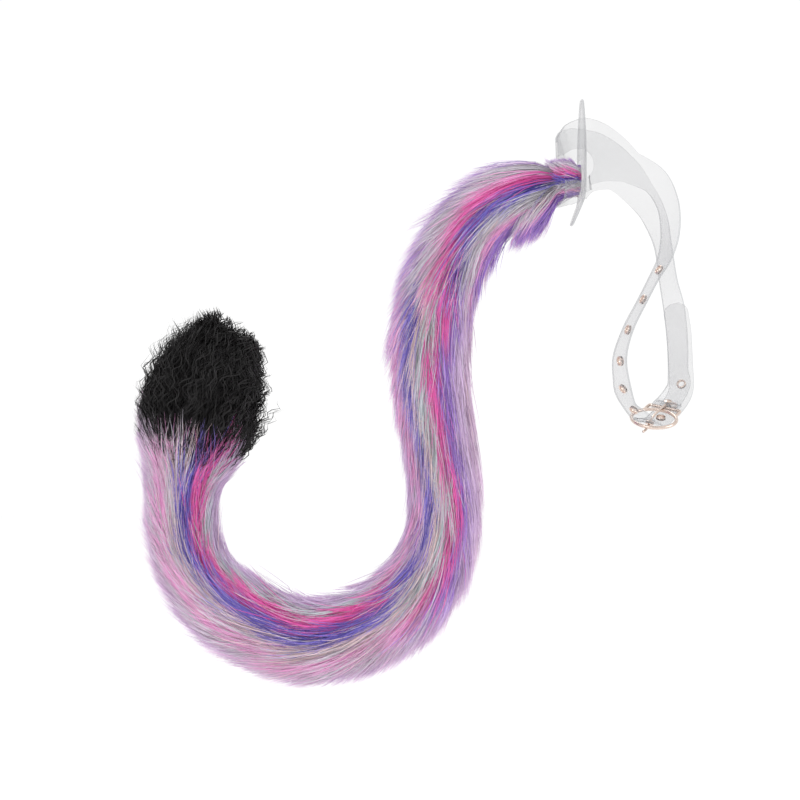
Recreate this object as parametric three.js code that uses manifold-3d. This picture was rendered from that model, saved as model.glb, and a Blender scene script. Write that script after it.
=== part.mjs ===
// A costume animal tail: long striped fur with a curly black tip, a clear support plate
// at its root, and a clear waist belt with metal eyelets and a round buckle.
// Lengths are in millimetres. +Z is up, and +X points at the wearer's back.
// The origin is the middle of the plate's face that lies on the wearer.
import * as THREE from 'three';
import { mergeVertices } from 'three/addons/utils/BufferGeometryUtils.js';
import Module from 'manifold-3d';

const wasm = await Module();
wasm.setup();

// Fit
const GAP = 0.3; // between two pieces that touch

// Fur tail
const TAIL_LENGTH = 800; // along its middle, from the plate to the end of the tuft
const TAIL_DROP = 12; // the root's middle below the origin
const FUR_RADIUS = 34; // to the ends of the hair where the tail is fullest
const FUR_CORE_SHARE = 0.8; // of the full radius, packed solid with hair
const NECK_RADIUS = 10; // the bare stalk that goes through the belt
const NECK_CLEAR = 0.8; // between the stalk and the belt's hole
const NECK_FLARE = 26; // length in which the stalk widens to the fur
const FIRST_LOCK = 0.4; // where the first locks start, as a share of NECK_FLARE
const FUR_STEP = 16; // between two sections of the solid core
const FUR_LOCK = { rows: 13, round: 5, length: 84, width: 24, thick: 8 };

// Black tuft at the tip
const TUFT_LENGTH = 132;
const TUFT_RADIUS = 49;
const TUFT_CORE_SHARE = 0.78;
const TUFT_STEP = 12;
const TUFT_LOCK = { rows: 6, round: 6, length: 48, width: 24, thick: 9 };

// The form of one lock, as shares of its own length, width and thickness
const LOCK_FORM = { middle: 0.45, root: 0.7, sink: 0.6, ridge: 0.6, edge: 1 / 3, point: 0.12 };
const LOCK_MIDDLE_REACH = 0.98; // between the core and the ends of the hair

// Clear support plate
const PLATE_HEIGHT = 97;
const PLATE_WIDTH = 50;
const PLATE_THICK = 2;
const PLATE_TUCK = 8; // the lower end stands off the wearer by this

// Clear belt
const BELT_THICK = 1.6;
const STRAP_WIDTH = 20;
const SADDLE_HEIGHT = 57; // the wide part round the tail's root
const SADDLE_OUT = 20; // from the plate to the bend round the root
const SADDLE_CLEAR = 6; // on each side of the plate
const LOOP_REACH = 100; // from the plate towards the far side of the waist loop
const LOOP_DROP = 198; // from the origin down to the buckle's middle
const LOOP_BULGE = 29; // the arms bow out by this past the saddle
const BUCKLE_OUT = 0.55; // the buckle's middle, as a share of LOOP_REACH
const ROOT_HOLE_RADIUS = 14.5;
const ROOT_HOLE_OUT = 3; // the hole's middle, outward from the plate
const ROOT_HOLE_DROP = 5.5;
const CHANNEL_WIDTH = 36; // of the opening for the stalk, at the bend of the saddle

// Eyelets along the belt
const EYELET_PITCH = 25;
const EYELET_RADIUS = 3.8;
const EYELET_BORE = 2.4;
const EYELET_BARREL = 3; // outer radius of the tube through the strap
const EYELET_LIP = 0.5;
const EYELETS_ON_ARM = 6;
const EYELETS_PAST_PRONG = 3;

// Buckle
const RING_RADIUS = 17.3; // to the middle of the wire
const RING_WIRE = 1.4; // wire radius
const RING_TILT = 24; // degrees from lying flat
const BAR_WIRE = 1.3;
const BUCKLE_TURN = 60; // degrees, the strap's way through the ring, seen from above
const PRONG_WIRE = 0.95;
const FOLD_SLACK = 1; // between the strap's fold and the ring
const RIVET_HEAD = 3;
const RIVET_SHANK = 1.4;
const RIVET_LIP = 0.7;
const RIVET_EDGE = 1; // from the rivet's head to the end of the fold
const FOLD_START = -60; // degrees round the bar at which the fold leaves the lower layer
const FOLD_SWEEP = 210;
const HOOK_START = -150; // degrees round the bar, for the loop of the prong
const HOOK_SWEEP = 210;
const HOOK_LEAVE = 1.02; // height at which the prong leaves its loop, as a share of the loop

// The strap and the prong where they go through the ring. rim is the far side of the ring,
// and eye is the middle of the eyelet that the prong goes through. Each along is measured
// on from it with the strap, and each rise up from the ring's plane or its wire.
const STRAP_PASS = {
  beforeRim: { along: -2, rise: 3.4 },
  afterRim: { along: 3, rise: 1.1 },
  eye: { along: 0, rise: -0.4 },
  afterEye: { along: 7, rise: 1 },
  end: { along: 0, rise: -0.6 },
};
const PRONG_PASS = {
  lead: { along: 9, rise: 2.9 },
  aboveEye: { along: 3.2, rise: 1.5 },
  eye: { along: 0, rise: -0.4 },
  belowEye: { along: -3.2, rise: -2.3 },
  afterRim: { along: 1, rise: -0.5 },
  tip: { along: -4, rise: 0 },
};

// Mesh fineness
const RIBBON_STEP = 9;
const ROUND_SIDES = 8;
const WIRE_SIDES = 6;
const RING_SIDES = 26;
const HOLE_SIDES = 24;
const ROD_FACETS = 3;
const BAR_STEPS = 18;
const PRONG_STEPS = 26;
const FOLD_STEPS = 7;
const HOOK_STEPS = 7;
const WALK_STEPS = 400; // along the tail's middle
const CRUMB = 0.03; // slivers left by a cut are welded when they are smaller than this

const MATERIALS = {
  fur: { color: 0xa98bbd, roughness: 0.95, metalness: 0 },
  black: { color: 0x141316, roughness: 0.9, metalness: 0 },
  clear: { color: 0xe9edf0, roughness: 0.12, metalness: 0, transparent: true, opacity: 0.35 },
  gold: { color: 0xd9a58a, roughness: 0.25, metalness: 1 },
};

// The tail's bends. along is a share of TAIL_LENGTH, heading is in degrees from +X
// towards +Z, and full is the hair's reach as a share of FUR_RADIUS.
const TAIL_BENDS = [
  { along: 0.0, heading: 180, full: 0.4 },
  { along: 0.03, heading: 190, full: 0.62 },
  { along: 0.06, heading: 203, full: 0.74 },
  { along: 0.1, heading: 222, full: 0.81 },
  { along: 0.14, heading: 239, full: 0.87 },
  { along: 0.18, heading: 253, full: 0.92 },
  { along: 0.225, heading: 264, full: 0.95 },
  { along: 0.27, heading: 273, full: 0.91 },
  { along: 0.31, heading: 278, full: 0.86 },
  { along: 0.36, heading: 277, full: 0.82 },
  { along: 0.405, heading: 269, full: 0.81 },
  { along: 0.445, heading: 254, full: 0.86 },
  { along: 0.485, heading: 233, full: 0.93 },
  { along: 0.52, heading: 214, full: 0.95 },
  { along: 0.56, heading: 200, full: 0.97 },
  { along: 0.6, heading: 181, full: 0.99 },
  { along: 0.64, heading: 161, full: 1.0 },
  { along: 0.685, heading: 146, full: 0.96 },
  { along: 0.73, heading: 126, full: 0.87 },
  { along: 0.77, heading: 102, full: 0.84 },
  { along: 0.81, heading: 86, full: 0.83 },
  { along: 0.85, heading: 77, full: 0.85 },
  { along: 0.9, heading: 81, full: 0.85 },
  { along: 1.0, heading: 76, full: 0.85 },
];

// The tuft's outline. along is a share of TUFT_LENGTH, full one of TUFT_RADIUS.
const TUFT_OUTLINE = [
  { along: 0.0, full: 0.6 },
  { along: 0.16, full: 0.82 },
  { along: 0.36, full: 0.98 },
  { along: 0.52, full: 1.0 },
  { along: 0.68, full: 0.9 },
  { along: 0.82, full: 0.7 },
  { along: 0.92, full: 0.45 },
  { along: 1.0, full: 0.12 },
];

// The plate from its top to its lower end. up is a share of PLATE_HEIGHT, wide one of
// PLATE_WIDTH, and tuck one of PLATE_TUCK.
const PLATE_ROWS = [
  { up: 0.5, wide: 0.16, tuck: 0 },
  { up: 0.485, wide: 0.28, tuck: 0 },
  { up: 0.44, wide: 0.42, tuck: 0 },
  { up: 0.36, wide: 0.6, tuck: 0 },
  { up: 0.26, wide: 0.8, tuck: 0 },
  { up: 0.14, wide: 0.96, tuck: 0 },
  { up: 0.02, wide: 1.0, tuck: 0 },
  { up: -0.1, wide: 1.0, tuck: 0 },
  { up: -0.18, wide: 0.95, tuck: 0 },
  { up: -0.25, wide: 0.88, tuck: 0 },
  { up: -0.32, wide: 0.78, tuck: 0.14 },
  { up: -0.39, wide: 0.66, tuck: 0.46 },
  { up: -0.46, wide: 0.46, tuck: 0.8 },
  { up: -0.49, wide: 0.3, tuck: 0.95 },
  { up: -0.5, wide: 0.16, tuck: 1 },
];

// The belt's middle from the buckle up the far arm, round the root and down the near arm.
// out is a share of SADDLE_OUT where negative and of LOOP_REACH where positive, side one
// of the saddle's half width, bow one of LOOP_BULGE, up one of LOOP_DROP, and wide one of
// STRAP_WIDTH on a strap and of SADDLE_HEIGHT on the saddle. across is the direction over
// the belt, from its lower edge to its upper one.
const ARM_FAR = [
  { out: 0.805, side: 1, bow: 0.25, up: -0.87, wide: 1, across: [0.7, -0.65, -0.15] },
  { out: 0.815, side: 1, bow: 0.5, up: -0.82, wide: 1, across: [0.6, -0.78, 0] },
  { out: 0.824, side: 1, bow: 0.76, up: -0.7, wide: 1, across: [0.67, -0.74, 0] },
  { out: 0.806, side: 1, bow: 0.97, up: -0.555, wide: 1, across: [0.7, -0.7, 0.1] },
  { out: 0.76, side: 1, bow: 1, up: -0.438, wide: 1, across: [0.55, -0.83, 0.12] },
  { out: 0.708, side: 1, bow: 0.86, up: -0.293, wide: 1, across: [0.5, -0.85, 0.16] },
  { out: 0.62, side: 1, bow: 0.66, up: -0.17, wide: 1.06, across: [0.75, -0.5, 0.35] },
  { out: 0.5, side: 1, bow: 0.44, up: -0.09, wide: 1.25, across: [0.68, -0.25, 0.62] },
];
const SADDLE = [
  { out: 0.335, side: 1, bow: 0.24, up: -0.01, wide: 0.56, across: [0.5, -0.1, 0.82] },
  { out: 0.14, side: 1, bow: 0.07, up: 0.024, wide: 0.83, across: [0.12, -0.04, 1] },
  { out: 0.0, side: 1, bow: 0, up: 0.02, wide: 1, across: [0, 0, 1] },
  { out: -0.6, side: 0.72, bow: 0, up: -0.01, wide: 1, across: [0, 0, 1] },
  { out: -1.0, side: 0, bow: 0, up: -0.045, wide: 0.87, across: [0, 0, 1] },
  { out: -0.6, side: -0.72, bow: 0, up: -0.012, wide: 0.98, across: [0, 0, 1] },
  { out: 0.0, side: -1, bow: 0, up: 0.012, wide: 0.96, across: [0, 0, 1] },
  { out: 0.14, side: -1, bow: -0.07, up: 0, wide: 0.72, across: [0.15, -0.08, 0.98] },
];
const ARM_NEAR = [
  { out: 0.315, side: -1, bow: -0.24, up: -0.045, wide: 1.2, across: [0.55, -0.3, 0.77] },
  { out: 0.49, side: -1, bow: -0.38, up: -0.098, wide: 1.05, across: [0.63, -0.5, 0.56] },
  { out: 0.575, side: -1, bow: -0.52, up: -0.18, wide: 1, across: [0.62, -0.7, 0.35] },
  { out: 0.593, side: -1, bow: -0.66, up: -0.258, wide: 1, across: [0.58, -0.76, 0.25] },
  { out: 0.581, side: -1, bow: -0.78, up: -0.33, wide: 1, across: [0.48, -0.87, 0] },
  { out: 0.535, side: -1, bow: -0.9, up: -0.405, wide: 1, across: [0.3, -0.94, -0.14] },
  { out: 0.457, side: -1, bow: -0.97, up: -0.474, wide: 1, across: [0.2, -0.98, -0.09] },
  { out: 0.372, side: -1, bow: -1, up: -0.556, wide: 1, across: [0.18, -0.98, -0.09] },
  { out: 0.267, side: -1, bow: -0.9, up: -0.666, wide: 1, across: [0.22, -0.97, -0.07] },
  { out: 0.22, side: -1, bow: -0.65, up: -0.771, wide: 1, across: [0.32, -0.94, 0] },
  { out: 0.25, side: -0.9, bow: -0.4, up: -0.868, wide: 1, across: [0.48, -0.85, -0.2] },
  { out: 0.315, side: -0.75, bow: 0, up: -0.94, wide: 1, across: [0.6, -0.7, -0.3] },
];
// The free end outside the far arm, from the buckle up to its rounded tip
const FREE_END = [
  { out: 0.835, side: 1, bow: 0.48, up: -0.893, wide: 1, across: [0.85, -0.5, -0.15] },
  { out: 0.85, side: 1, bow: 0.82, up: -0.77, wide: 1, across: [0.88, -0.46, 0] },
  { out: 0.85, side: 1, bow: 1.06, up: -0.65, wide: 1, across: [0.9, -0.44, 0] },
  { out: 0.83, side: 1, bow: 1.16, up: -0.565, wide: 1, across: [0.9, -0.44, 0] },
  { out: 0.824, side: 1, bow: 1.18, up: -0.542, wide: 0.78, across: [0.9, -0.44, 0] },
  { out: 0.82, side: 1, bow: 1.185, up: -0.53, wide: 0.34, across: [0.9, -0.44, 0] },
];

// Values between the rows of a table, straight from row to row
function between(rows, key, column, at) {
  let i = 0;
  while (i < rows.length - 2 && rows[i + 1][key] < at) i += 1;
  const span = rows[i + 1][key] - rows[i][key];
  const share = THREE.MathUtils.clamp((at - rows[i][key]) / span, 0, 1);
  return THREE.MathUtils.lerp(rows[i][column], rows[i + 1][column], share);
}

// A solid for joining and cutting, from a closed geometry
function toSolid(geometry) {
  const bare = geometry.clone();
  bare.deleteAttribute('normal');
  bare.deleteAttribute('uv');
  const merged = mergeVertices(bare, 1e-4);
  return new wasm.Manifold(new wasm.Mesh({
    numProp: 3,
    vertProperties: new Float32Array(merged.attributes.position.array),
    triVerts: new Uint32Array(merged.index.array),
  }));
}

function toGeometry(solid) {
  const mesh = solid.simplify(CRUMB).getMesh();
  const geometry = new THREE.BufferGeometry();
  geometry.setAttribute('position', new THREE.BufferAttribute(mesh.vertProperties, 3));
  geometry.setIndex(new THREE.BufferAttribute(mesh.triVerts, 1));
  geometry.computeVertexNormals();
  return geometry;
}

// A closed skin over rings of points, each ring the same number of points
function skin(rings) {
  const points = rings.flat();
  const faces = [];
  const sides = rings[0].length;
  for (let r = 0; r < rings.length - 1; r += 1) {
    for (let s = 0; s < sides; s += 1) {
      const a = r * sides + s;
      const b = r * sides + ((s + 1) % sides);
      faces.push(a, b, b + sides, a, b + sides, a + sides);
    }
  }
  const last = (rings.length - 1) * sides;
  for (let s = 1; s < sides - 1; s += 1) {
    faces.push(0, s + 1, s, last, last + s, last + s + 1);
  }
  const geometry = new THREE.BufferGeometry();
  const flat = points.flatMap((p) => [p.x, p.y, p.z]);
  geometry.setAttribute('position', new THREE.Float32BufferAttribute(flat, 3));
  geometry.setIndex(faces);
  return geometry;
}

// A solid turned about its own axis from a closed profile of radius and height
function turned(profile) {
  const closed = [...profile, profile[0]];
  const points = closed.map(([radius, height]) => new THREE.Vector2(radius, height));
  return new THREE.LatheGeometry(points, ROUND_SIDES);
}

// A round rod along a curve
function rod(curve, radius, steps) {
  const section = new THREE.Shape();
  section.absarc(0, 0, radius, 0, 2 * Math.PI, false);
  return new THREE.ExtrudeGeometry(section, {
    steps,
    extrudePath: curve,
    curveSegments: ROD_FACETS,
    bevelEnabled: false,
  });
}

function frameMatrix(at, axis, toward) {
  const up = axis.clone().normalize();
  const x = toward.clone().addScaledVector(up, -toward.dot(up)).normalize();
  const z = new THREE.Vector3().crossVectors(x, up);
  return new THREE.Matrix4().makeBasis(x, up, z).setPosition(at);
}

// The tail's middle, worked out by walking along its headings
const tailWalk = [];
{
  const at = new THREE.Vector3(-PLATE_THICK - GAP, 0, -TAIL_DROP);
  for (let i = 0; i <= WALK_STEPS; i += 1) {
    const along = i / WALK_STEPS;
    const heading = THREE.MathUtils.degToRad(between(TAIL_BENDS, 'along', 'heading', along));
    const ahead = new THREE.Vector3(Math.cos(heading), 0, Math.sin(heading));
    tailWalk.push({ at: at.clone(), ahead });
    at.addScaledVector(ahead, TAIL_LENGTH / WALK_STEPS);
  }
}

function tailAt(length) {
  const step = THREE.MathUtils.clamp((length / TAIL_LENGTH) * WALK_STEPS, 0, WALK_STEPS - 1e-6);
  const [a, b] = [tailWalk[Math.floor(step)], tailWalk[Math.floor(step) + 1]];
  const at = a.at.clone().lerp(b.at, step % 1);
  const ahead = a.ahead.clone().lerp(b.ahead, step % 1).normalize();
  return { at, ahead };
}

// A point off the tail's middle: turn is the angle round it, from the bend's plane
function aroundTail(length, turn, radius) {
  const { at, ahead } = tailAt(length);
  const over = new THREE.Vector3(ahead.z, 0, -ahead.x);
  const side = new THREE.Vector3(0, 1, 0);
  const off = over.multiplyScalar(Math.cos(turn)).addScaledVector(side, Math.sin(turn));
  return at.addScaledVector(off, radius);
}

// One lock of hair: rooted in the body, widest in the middle and pointed at its end
function lock(start, turn, shape, radiusAt, coreShare) {
  const ring = (length, radius, width, thick) => {
    const spread = width / 2 / Math.max(radius, width);
    return [
      aroundTail(length, turn - spread, radius - thick * LOCK_FORM.edge),
      aroundTail(length, turn, radius + thick * LOCK_FORM.ridge),
      aroundTail(length, turn + spread, radius - thick * LOCK_FORM.edge),
    ];
  };
  const middle = start + shape.length * LOCK_FORM.middle;
  const end = start + shape.length;
  const rootRadius = radiusAt(start) * coreShare - shape.thick * LOCK_FORM.sink;
  const middleRadius = radiusAt(middle) * (coreShare + 1) * LOCK_MIDDLE_REACH / 2;
  const point = shape.thick * LOCK_FORM.point;
  return skin([
    ring(start, rootRadius, shape.width * LOCK_FORM.root, shape.thick),
    ring(middle, middleRadius, shape.width, shape.thick),
    ring(end, radiusAt(end), point, point),
  ]);
}

// A body of hair: a packed core with rows of overlapping locks on it
function furBody({ from, to, radiusAt, coreAt, coreShare, locks, firstLock, step }) {
  const count = Math.ceil((to - from) / step);
  const rings = [];
  for (let i = 0; i <= count; i += 1) {
    const length = from + ((to - from) * i) / count;
    const ring = [];
    for (let s = 0; s < ROUND_SIDES; s += 1) {
      ring.push(aroundTail(length, (2 * Math.PI * s) / ROUND_SIDES, coreAt(length)));
    }
    rings.push(ring);
  }
  const solids = [toSolid(skin(rings))];
  const lastStart = to - locks.length;
  for (let row = 0; row < locks.rows; row += 1) {
    const start = THREE.MathUtils.lerp(firstLock, lastStart, row / (locks.rows - 1));
    for (let k = 0; k < locks.round; k += 1) {
      const turn = (2 * Math.PI * (k + (row % 2) / 2)) / locks.round;
      solids.push(toSolid(lock(start, turn, locks, radiusAt, coreShare)));
    }
  }
  return toGeometry(wasm.Manifold.union(solids));
}

const furEnd = TAIL_LENGTH - TUFT_LENGTH;
const neckEnd = SADDLE_OUT + BELT_THICK + GAP;

function furRadius(length) {
  return between(TAIL_BENDS, 'along', 'full', length / TAIL_LENGTH) * FUR_RADIUS;
}

function furCore(length) {
  const grown = THREE.MathUtils.smoothstep(length, neckEnd, neckEnd + NECK_FLARE);
  return THREE.MathUtils.lerp(NECK_RADIUS, furRadius(length) * FUR_CORE_SHARE, grown);
}

function makeFurTail() {
  return furBody({
    from: 0,
    to: furEnd - GAP / 2,
    radiusAt: furRadius,
    coreAt: furCore,
    coreShare: FUR_CORE_SHARE,
    locks: FUR_LOCK,
    firstLock: neckEnd + NECK_FLARE * FIRST_LOCK,
    step: FUR_STEP,
  });
}

function tuftRadius(length) {
  return between(TUFT_OUTLINE, 'along', 'full', (length - furEnd) / TUFT_LENGTH) * TUFT_RADIUS;
}

function makeTuft() {
  return furBody({
    from: furEnd + GAP / 2,
    to: TAIL_LENGTH,
    radiusAt: tuftRadius,
    coreAt: (length) => tuftRadius(length) * TUFT_CORE_SHARE,
    coreShare: TUFT_CORE_SHARE,
    locks: TUFT_LOCK,
    firstLock: furEnd + GAP / 2 + TUFT_LOCK.thick,
    step: TUFT_STEP,
  });
}

// Cross-sections of a flat strip, each with its middle, its direction over the strip and
// its normal
function stripFrames(rows) {
  const route = new THREE.CatmullRomCurve3(rows.map((row) => row.at), false, 'centripetal');
  const over = new THREE.CatmullRomCurve3(rows.map((row) => row.over), false, 'catmullrom', 0.4);
  const frames = [];
  rows.forEach((row, i) => {
    if (i === rows.length - 1) return;
    const steps = Math.max(1, Math.round(row.at.distanceTo(rows[i + 1].at) / RIBBON_STEP));
    for (let s = 0; s < steps; s += 1) frames.push({ place: i + s / steps });
  });
  frames.push({ place: rows.length - 1 });
  const last = rows.length - 1;
  for (const frame of frames) {
    const i = Math.min(Math.floor(frame.place), last - 1);
    frame.at = route.getPoint(frame.place / last);
    frame.ahead = route.getTangent(frame.place / last);
    frame.over = over.getPoint(frame.place / last);
    frame.over.addScaledVector(frame.ahead, -frame.over.dot(frame.ahead)).normalize();
    frame.normal = new THREE.Vector3().crossVectors(frame.ahead, frame.over);
    frame.width = THREE.MathUtils.lerp(rows[i].width, rows[i + 1].width, frame.place - i);
  }
  let length = 0;
  frames.forEach((frame, i) => {
    if (i > 0) length += frame.at.distanceTo(frames[i - 1].at);
    frame.length = length;
  });
  return frames;
}

function strip(frames, thick) {
  return skin(frames.map(({ at, over, normal, width }) => [
    at.clone().addScaledVector(over, width / 2).addScaledVector(normal, thick / 2),
    at.clone().addScaledVector(over, -width / 2).addScaledVector(normal, thick / 2),
    at.clone().addScaledVector(over, -width / 2).addScaledVector(normal, -thick / 2),
    at.clone().addScaledVector(over, width / 2).addScaledVector(normal, -thick / 2),
  ]));
}

// The support plate: flat above, with its lower end curving away from the wearer
function makePlate() {
  const frames = PLATE_ROWS.map(({ up, wide, tuck }, i) => {
    const before = PLATE_ROWS[Math.max(i - 1, 0)];
    const after = PLATE_ROWS[Math.min(i + 1, PLATE_ROWS.length - 1)];
    const ahead = new THREE.Vector3(
      (before.tuck - after.tuck) * PLATE_TUCK, 0, (after.up - before.up) * PLATE_HEIGHT,
    ).normalize();
    const over = new THREE.Vector3(0, 1, 0);
    const normal = new THREE.Vector3().crossVectors(ahead, over);
    const at = new THREE.Vector3(-PLATE_THICK / 2 - tuck * PLATE_TUCK, 0, up * PLATE_HEIGHT);
    return { at, over, normal, width: wide * PLATE_WIDTH };
  });
  return strip(frames, PLATE_THICK);
}

// The buckle's frame: u runs with the strap through the ring, w over the strap and v out
// of the ring's plane, towards the inside of the loop
const buckleAt = new THREE.Vector3(BUCKLE_OUT * LOOP_REACH, 0, -LOOP_DROP);
const tilt = THREE.MathUtils.degToRad(RING_TILT);
const turn = THREE.MathUtils.degToRad(BUCKLE_TURN);
const inPlane = new THREE.Vector3(0, Math.cos(tilt), Math.sin(tilt));
const axisV = new THREE.Vector3(0, -Math.sin(tilt), Math.cos(tilt));
const axisU = new THREE.Vector3(Math.cos(turn), 0, 0).addScaledVector(inPlane, Math.sin(turn));
const axisW = new THREE.Vector3(Math.sin(turn), 0, 0).addScaledVector(inPlane, -Math.cos(turn));

function inBuckle(u, v, w = 0) {
  const at = buckleAt.clone().addScaledVector(axisU, u).addScaledVector(axisV, v);
  return at.addScaledVector(axisW, w);
}

// The bar stands off the ring by a strap's thickness, and the strap folds round it
const barU = RING_RADIUS + RING_WIRE + FOLD_SLACK + BELT_THICK + GAP + BAR_WIRE;
const barHalf = STRAP_WIDTH / 2 + GAP + 2 * BAR_WIRE;
const foldRadius = BAR_WIRE + GAP + BELT_THICK / 2;
const layerStep = BELT_THICK + 2 * GAP;
const rivetU = barU + foldRadius + RIVET_HEAD + 3 * GAP;
const foldEndU = rivetU + RIVET_HEAD + RIVET_EDGE;
const eyeletReach = BELT_THICK / 2 + GAP + EYELET_LIP;
const passV = -(foldRadius + BELT_THICK / 2 + eyeletReach + 2 * GAP);
const prongEyeU = -RING_RADIUS / 2;

function beltRow({ out, side, bow, up, wide, across }, widthUnit) {
  const saddleHalf = PLATE_WIDTH / 2 + SADDLE_CLEAR;
  const at = new THREE.Vector3(
    out * (out < 0 ? SADDLE_OUT : LOOP_REACH),
    side * saddleHalf + bow * LOOP_BULGE,
    up * LOOP_DROP,
  );
  return { at, over: new THREE.Vector3(...across).normalize(), width: wide * widthUnit };
}

function buckleRow(u, v) {
  return { at: inBuckle(u, v), over: axisW.clone(), width: STRAP_WIDTH };
}

// The strap's end, folded round the bar: lower layer, the turn, then the upper layer
function foldRows() {
  const rows = [
    buckleRow(foldEndU, foldRadius - layerStep),
    buckleRow(rivetU, foldRadius - layerStep),
    buckleRow(rivetU - RIVET_HEAD, foldRadius - layerStep - GAP),
  ];
  for (let i = 0; i <= FOLD_STEPS; i += 1) {
    const angle = THREE.MathUtils.degToRad(FOLD_START - (FOLD_SWEEP * i) / FOLD_STEPS);
    rows.push(buckleRow(barU + Math.cos(angle) * foldRadius, Math.sin(angle) * foldRadius));
  }
  rows.push(buckleRow(rivetU - RIVET_HEAD, foldRadius), buckleRow(rivetU, foldRadius));
  rows.push(buckleRow(foldEndU, foldRadius));
  return rows;
}

// The near arm's way through the ring: over its wire, down through it and under the fold
function passRows() {
  const over = RING_WIRE + GAP + BELT_THICK / 2;
  const { beforeRim, afterRim, eye, afterEye, end } = STRAP_PASS;
  return [
    buckleRow(-RING_RADIUS + beforeRim.along, over + beforeRim.rise),
    buckleRow(-RING_RADIUS + afterRim.along, over + afterRim.rise),
    buckleRow(prongEyeU + eye.along, eye.rise),
    buckleRow(prongEyeU + afterEye.along, passV + afterEye.rise),
    buckleRow(RING_RADIUS / 2, passV),
    buckleRow(barU, passV),
    buckleRow(foldEndU + end.along, passV + end.rise),
  ];
}

const fold = foldRows();
const pass = passRows();
const beltRows = [
  ...fold,
  ...ARM_FAR.map((row) => beltRow(row, STRAP_WIDTH)),
  ...SADDLE.map((row) => beltRow(row, SADDLE_HEIGHT)),
  ...ARM_NEAR.map((row) => beltRow(row, STRAP_WIDTH)),
  ...pass,
  ...FREE_END.map((row) => beltRow(row, STRAP_WIDTH)),
];
const beltFrames = stripFrames(beltRows);
const prongRow = fold.length + ARM_FAR.length + SADDLE.length + ARM_NEAR.length + 2;

function beltAt(length) {
  let i = 0;
  while (i < beltFrames.length - 2 && beltFrames[i + 1].length < length) i += 1;
  const [a, b] = [beltFrames[i], beltFrames[i + 1]];
  const share = (length - a.length) / (b.length - a.length);
  const mix = (key) => a[key].clone().lerp(b[key], share);
  return frameMatrix(mix('at'), mix('normal'), mix('over'));
}

const prongHoleLength = beltFrames.find((frame) => frame.place >= prongRow).length;
const eyeletPlaces = [];
for (let k = -EYELETS_PAST_PRONG; k <= EYELETS_ON_ARM; k += 1) {
  eyeletPlaces.push(beltAt(prongHoleLength - k * EYELET_PITCH));
}

// An eyelet: a tube through the strap with a lip on each face
function eyeletProfile(grow, bore) {
  const face = BELT_THICK / 2 + GAP - grow;
  const top = BELT_THICK / 2 + GAP + EYELET_LIP + grow;
  const [barrel, lip] = [EYELET_BARREL + grow, EYELET_RADIUS + grow];
  return [[bore, -top], [lip, -top], [lip, -face], [barrel, -face],
    [barrel, face], [lip, face], [lip, top], [bore, top]];
}

function makeRing() {
  const ring = new THREE.TorusGeometry(RING_RADIUS, RING_WIRE, WIRE_SIDES, RING_SIDES);
  const ringPlane = new THREE.Matrix4().makeBasis(axisU, axisW.clone().negate(), axisV);
  ring.applyMatrix4(ringPlane.setPosition(buckleAt));
  const legRoot = Math.sqrt(RING_RADIUS ** 2 - barHalf ** 2);
  const bend = 2 * BAR_WIRE;
  const corner = bend / 5;
  const leg = (side) => [
    inBuckle(legRoot, 0, side * barHalf),
    inBuckle(barU - bend, 0, side * barHalf),
    inBuckle(barU - corner, 0, side * (barHalf - corner)),
    inBuckle(barU, 0, side * (barHalf - bend)),
  ];
  const route = [...leg(-1), inBuckle(barU, 0, 0), ...leg(1).reverse()];
  const bar = rod(new THREE.CatmullRomCurve3(route, false, 'centripetal'), BAR_WIRE, BAR_STEPS);
  return toGeometry(toSolid(ring).add(toSolid(bar)));
}

// The prong hangs on the bar by a loop, goes through an eyelet and rests under the ring
function prongRoute() {
  const hook = BAR_WIRE + GAP + PRONG_WIRE;
  const under = -(RING_WIRE + GAP + PRONG_WIRE);
  const { lead, aboveEye, eye, belowEye, afterRim, tip } = PRONG_PASS;
  const points = [];
  for (let i = 0; i <= HOOK_STEPS; i += 1) {
    const angle = THREE.MathUtils.degToRad(HOOK_START + (HOOK_SWEEP * i) / HOOK_STEPS);
    points.push(inBuckle(barU + Math.cos(angle) * hook, Math.sin(angle) * hook));
  }
  points.push(
    inBuckle(barU - hook, hook * HOOK_LEAVE),
    inBuckle(prongEyeU + lead.along, lead.rise),
    inBuckle(prongEyeU + aboveEye.along, aboveEye.rise),
    inBuckle(prongEyeU + eye.along, eye.rise),
    inBuckle(prongEyeU + belowEye.along, belowEye.rise),
    inBuckle(-RING_RADIUS + afterRim.along, under + afterRim.rise),
    inBuckle(-RING_RADIUS + tip.along, under + tip.rise),
  );
  return new THREE.CatmullRomCurve3(points, false, 'centripetal');
}

function makeProng() {
  return rod(prongRoute(), PRONG_WIRE, PRONG_STEPS);
}

function rivetProfile(grow) {
  const low = foldRadius - layerStep - BELT_THICK / 2 - GAP + grow;
  const high = foldRadius + BELT_THICK / 2 + GAP - grow;
  const [head, shank, lip] = [RIVET_HEAD + grow, RIVET_SHANK + grow, RIVET_LIP + grow * 2];
  return [[0, low - lip], [head, low - lip], [head, low], [shank, low],
    [shank, high], [head, high], [head, high + lip], [0, high + lip]];
}

const rivetPlace = frameMatrix(inBuckle(rivetU, 0), axisV, axisU);

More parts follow.
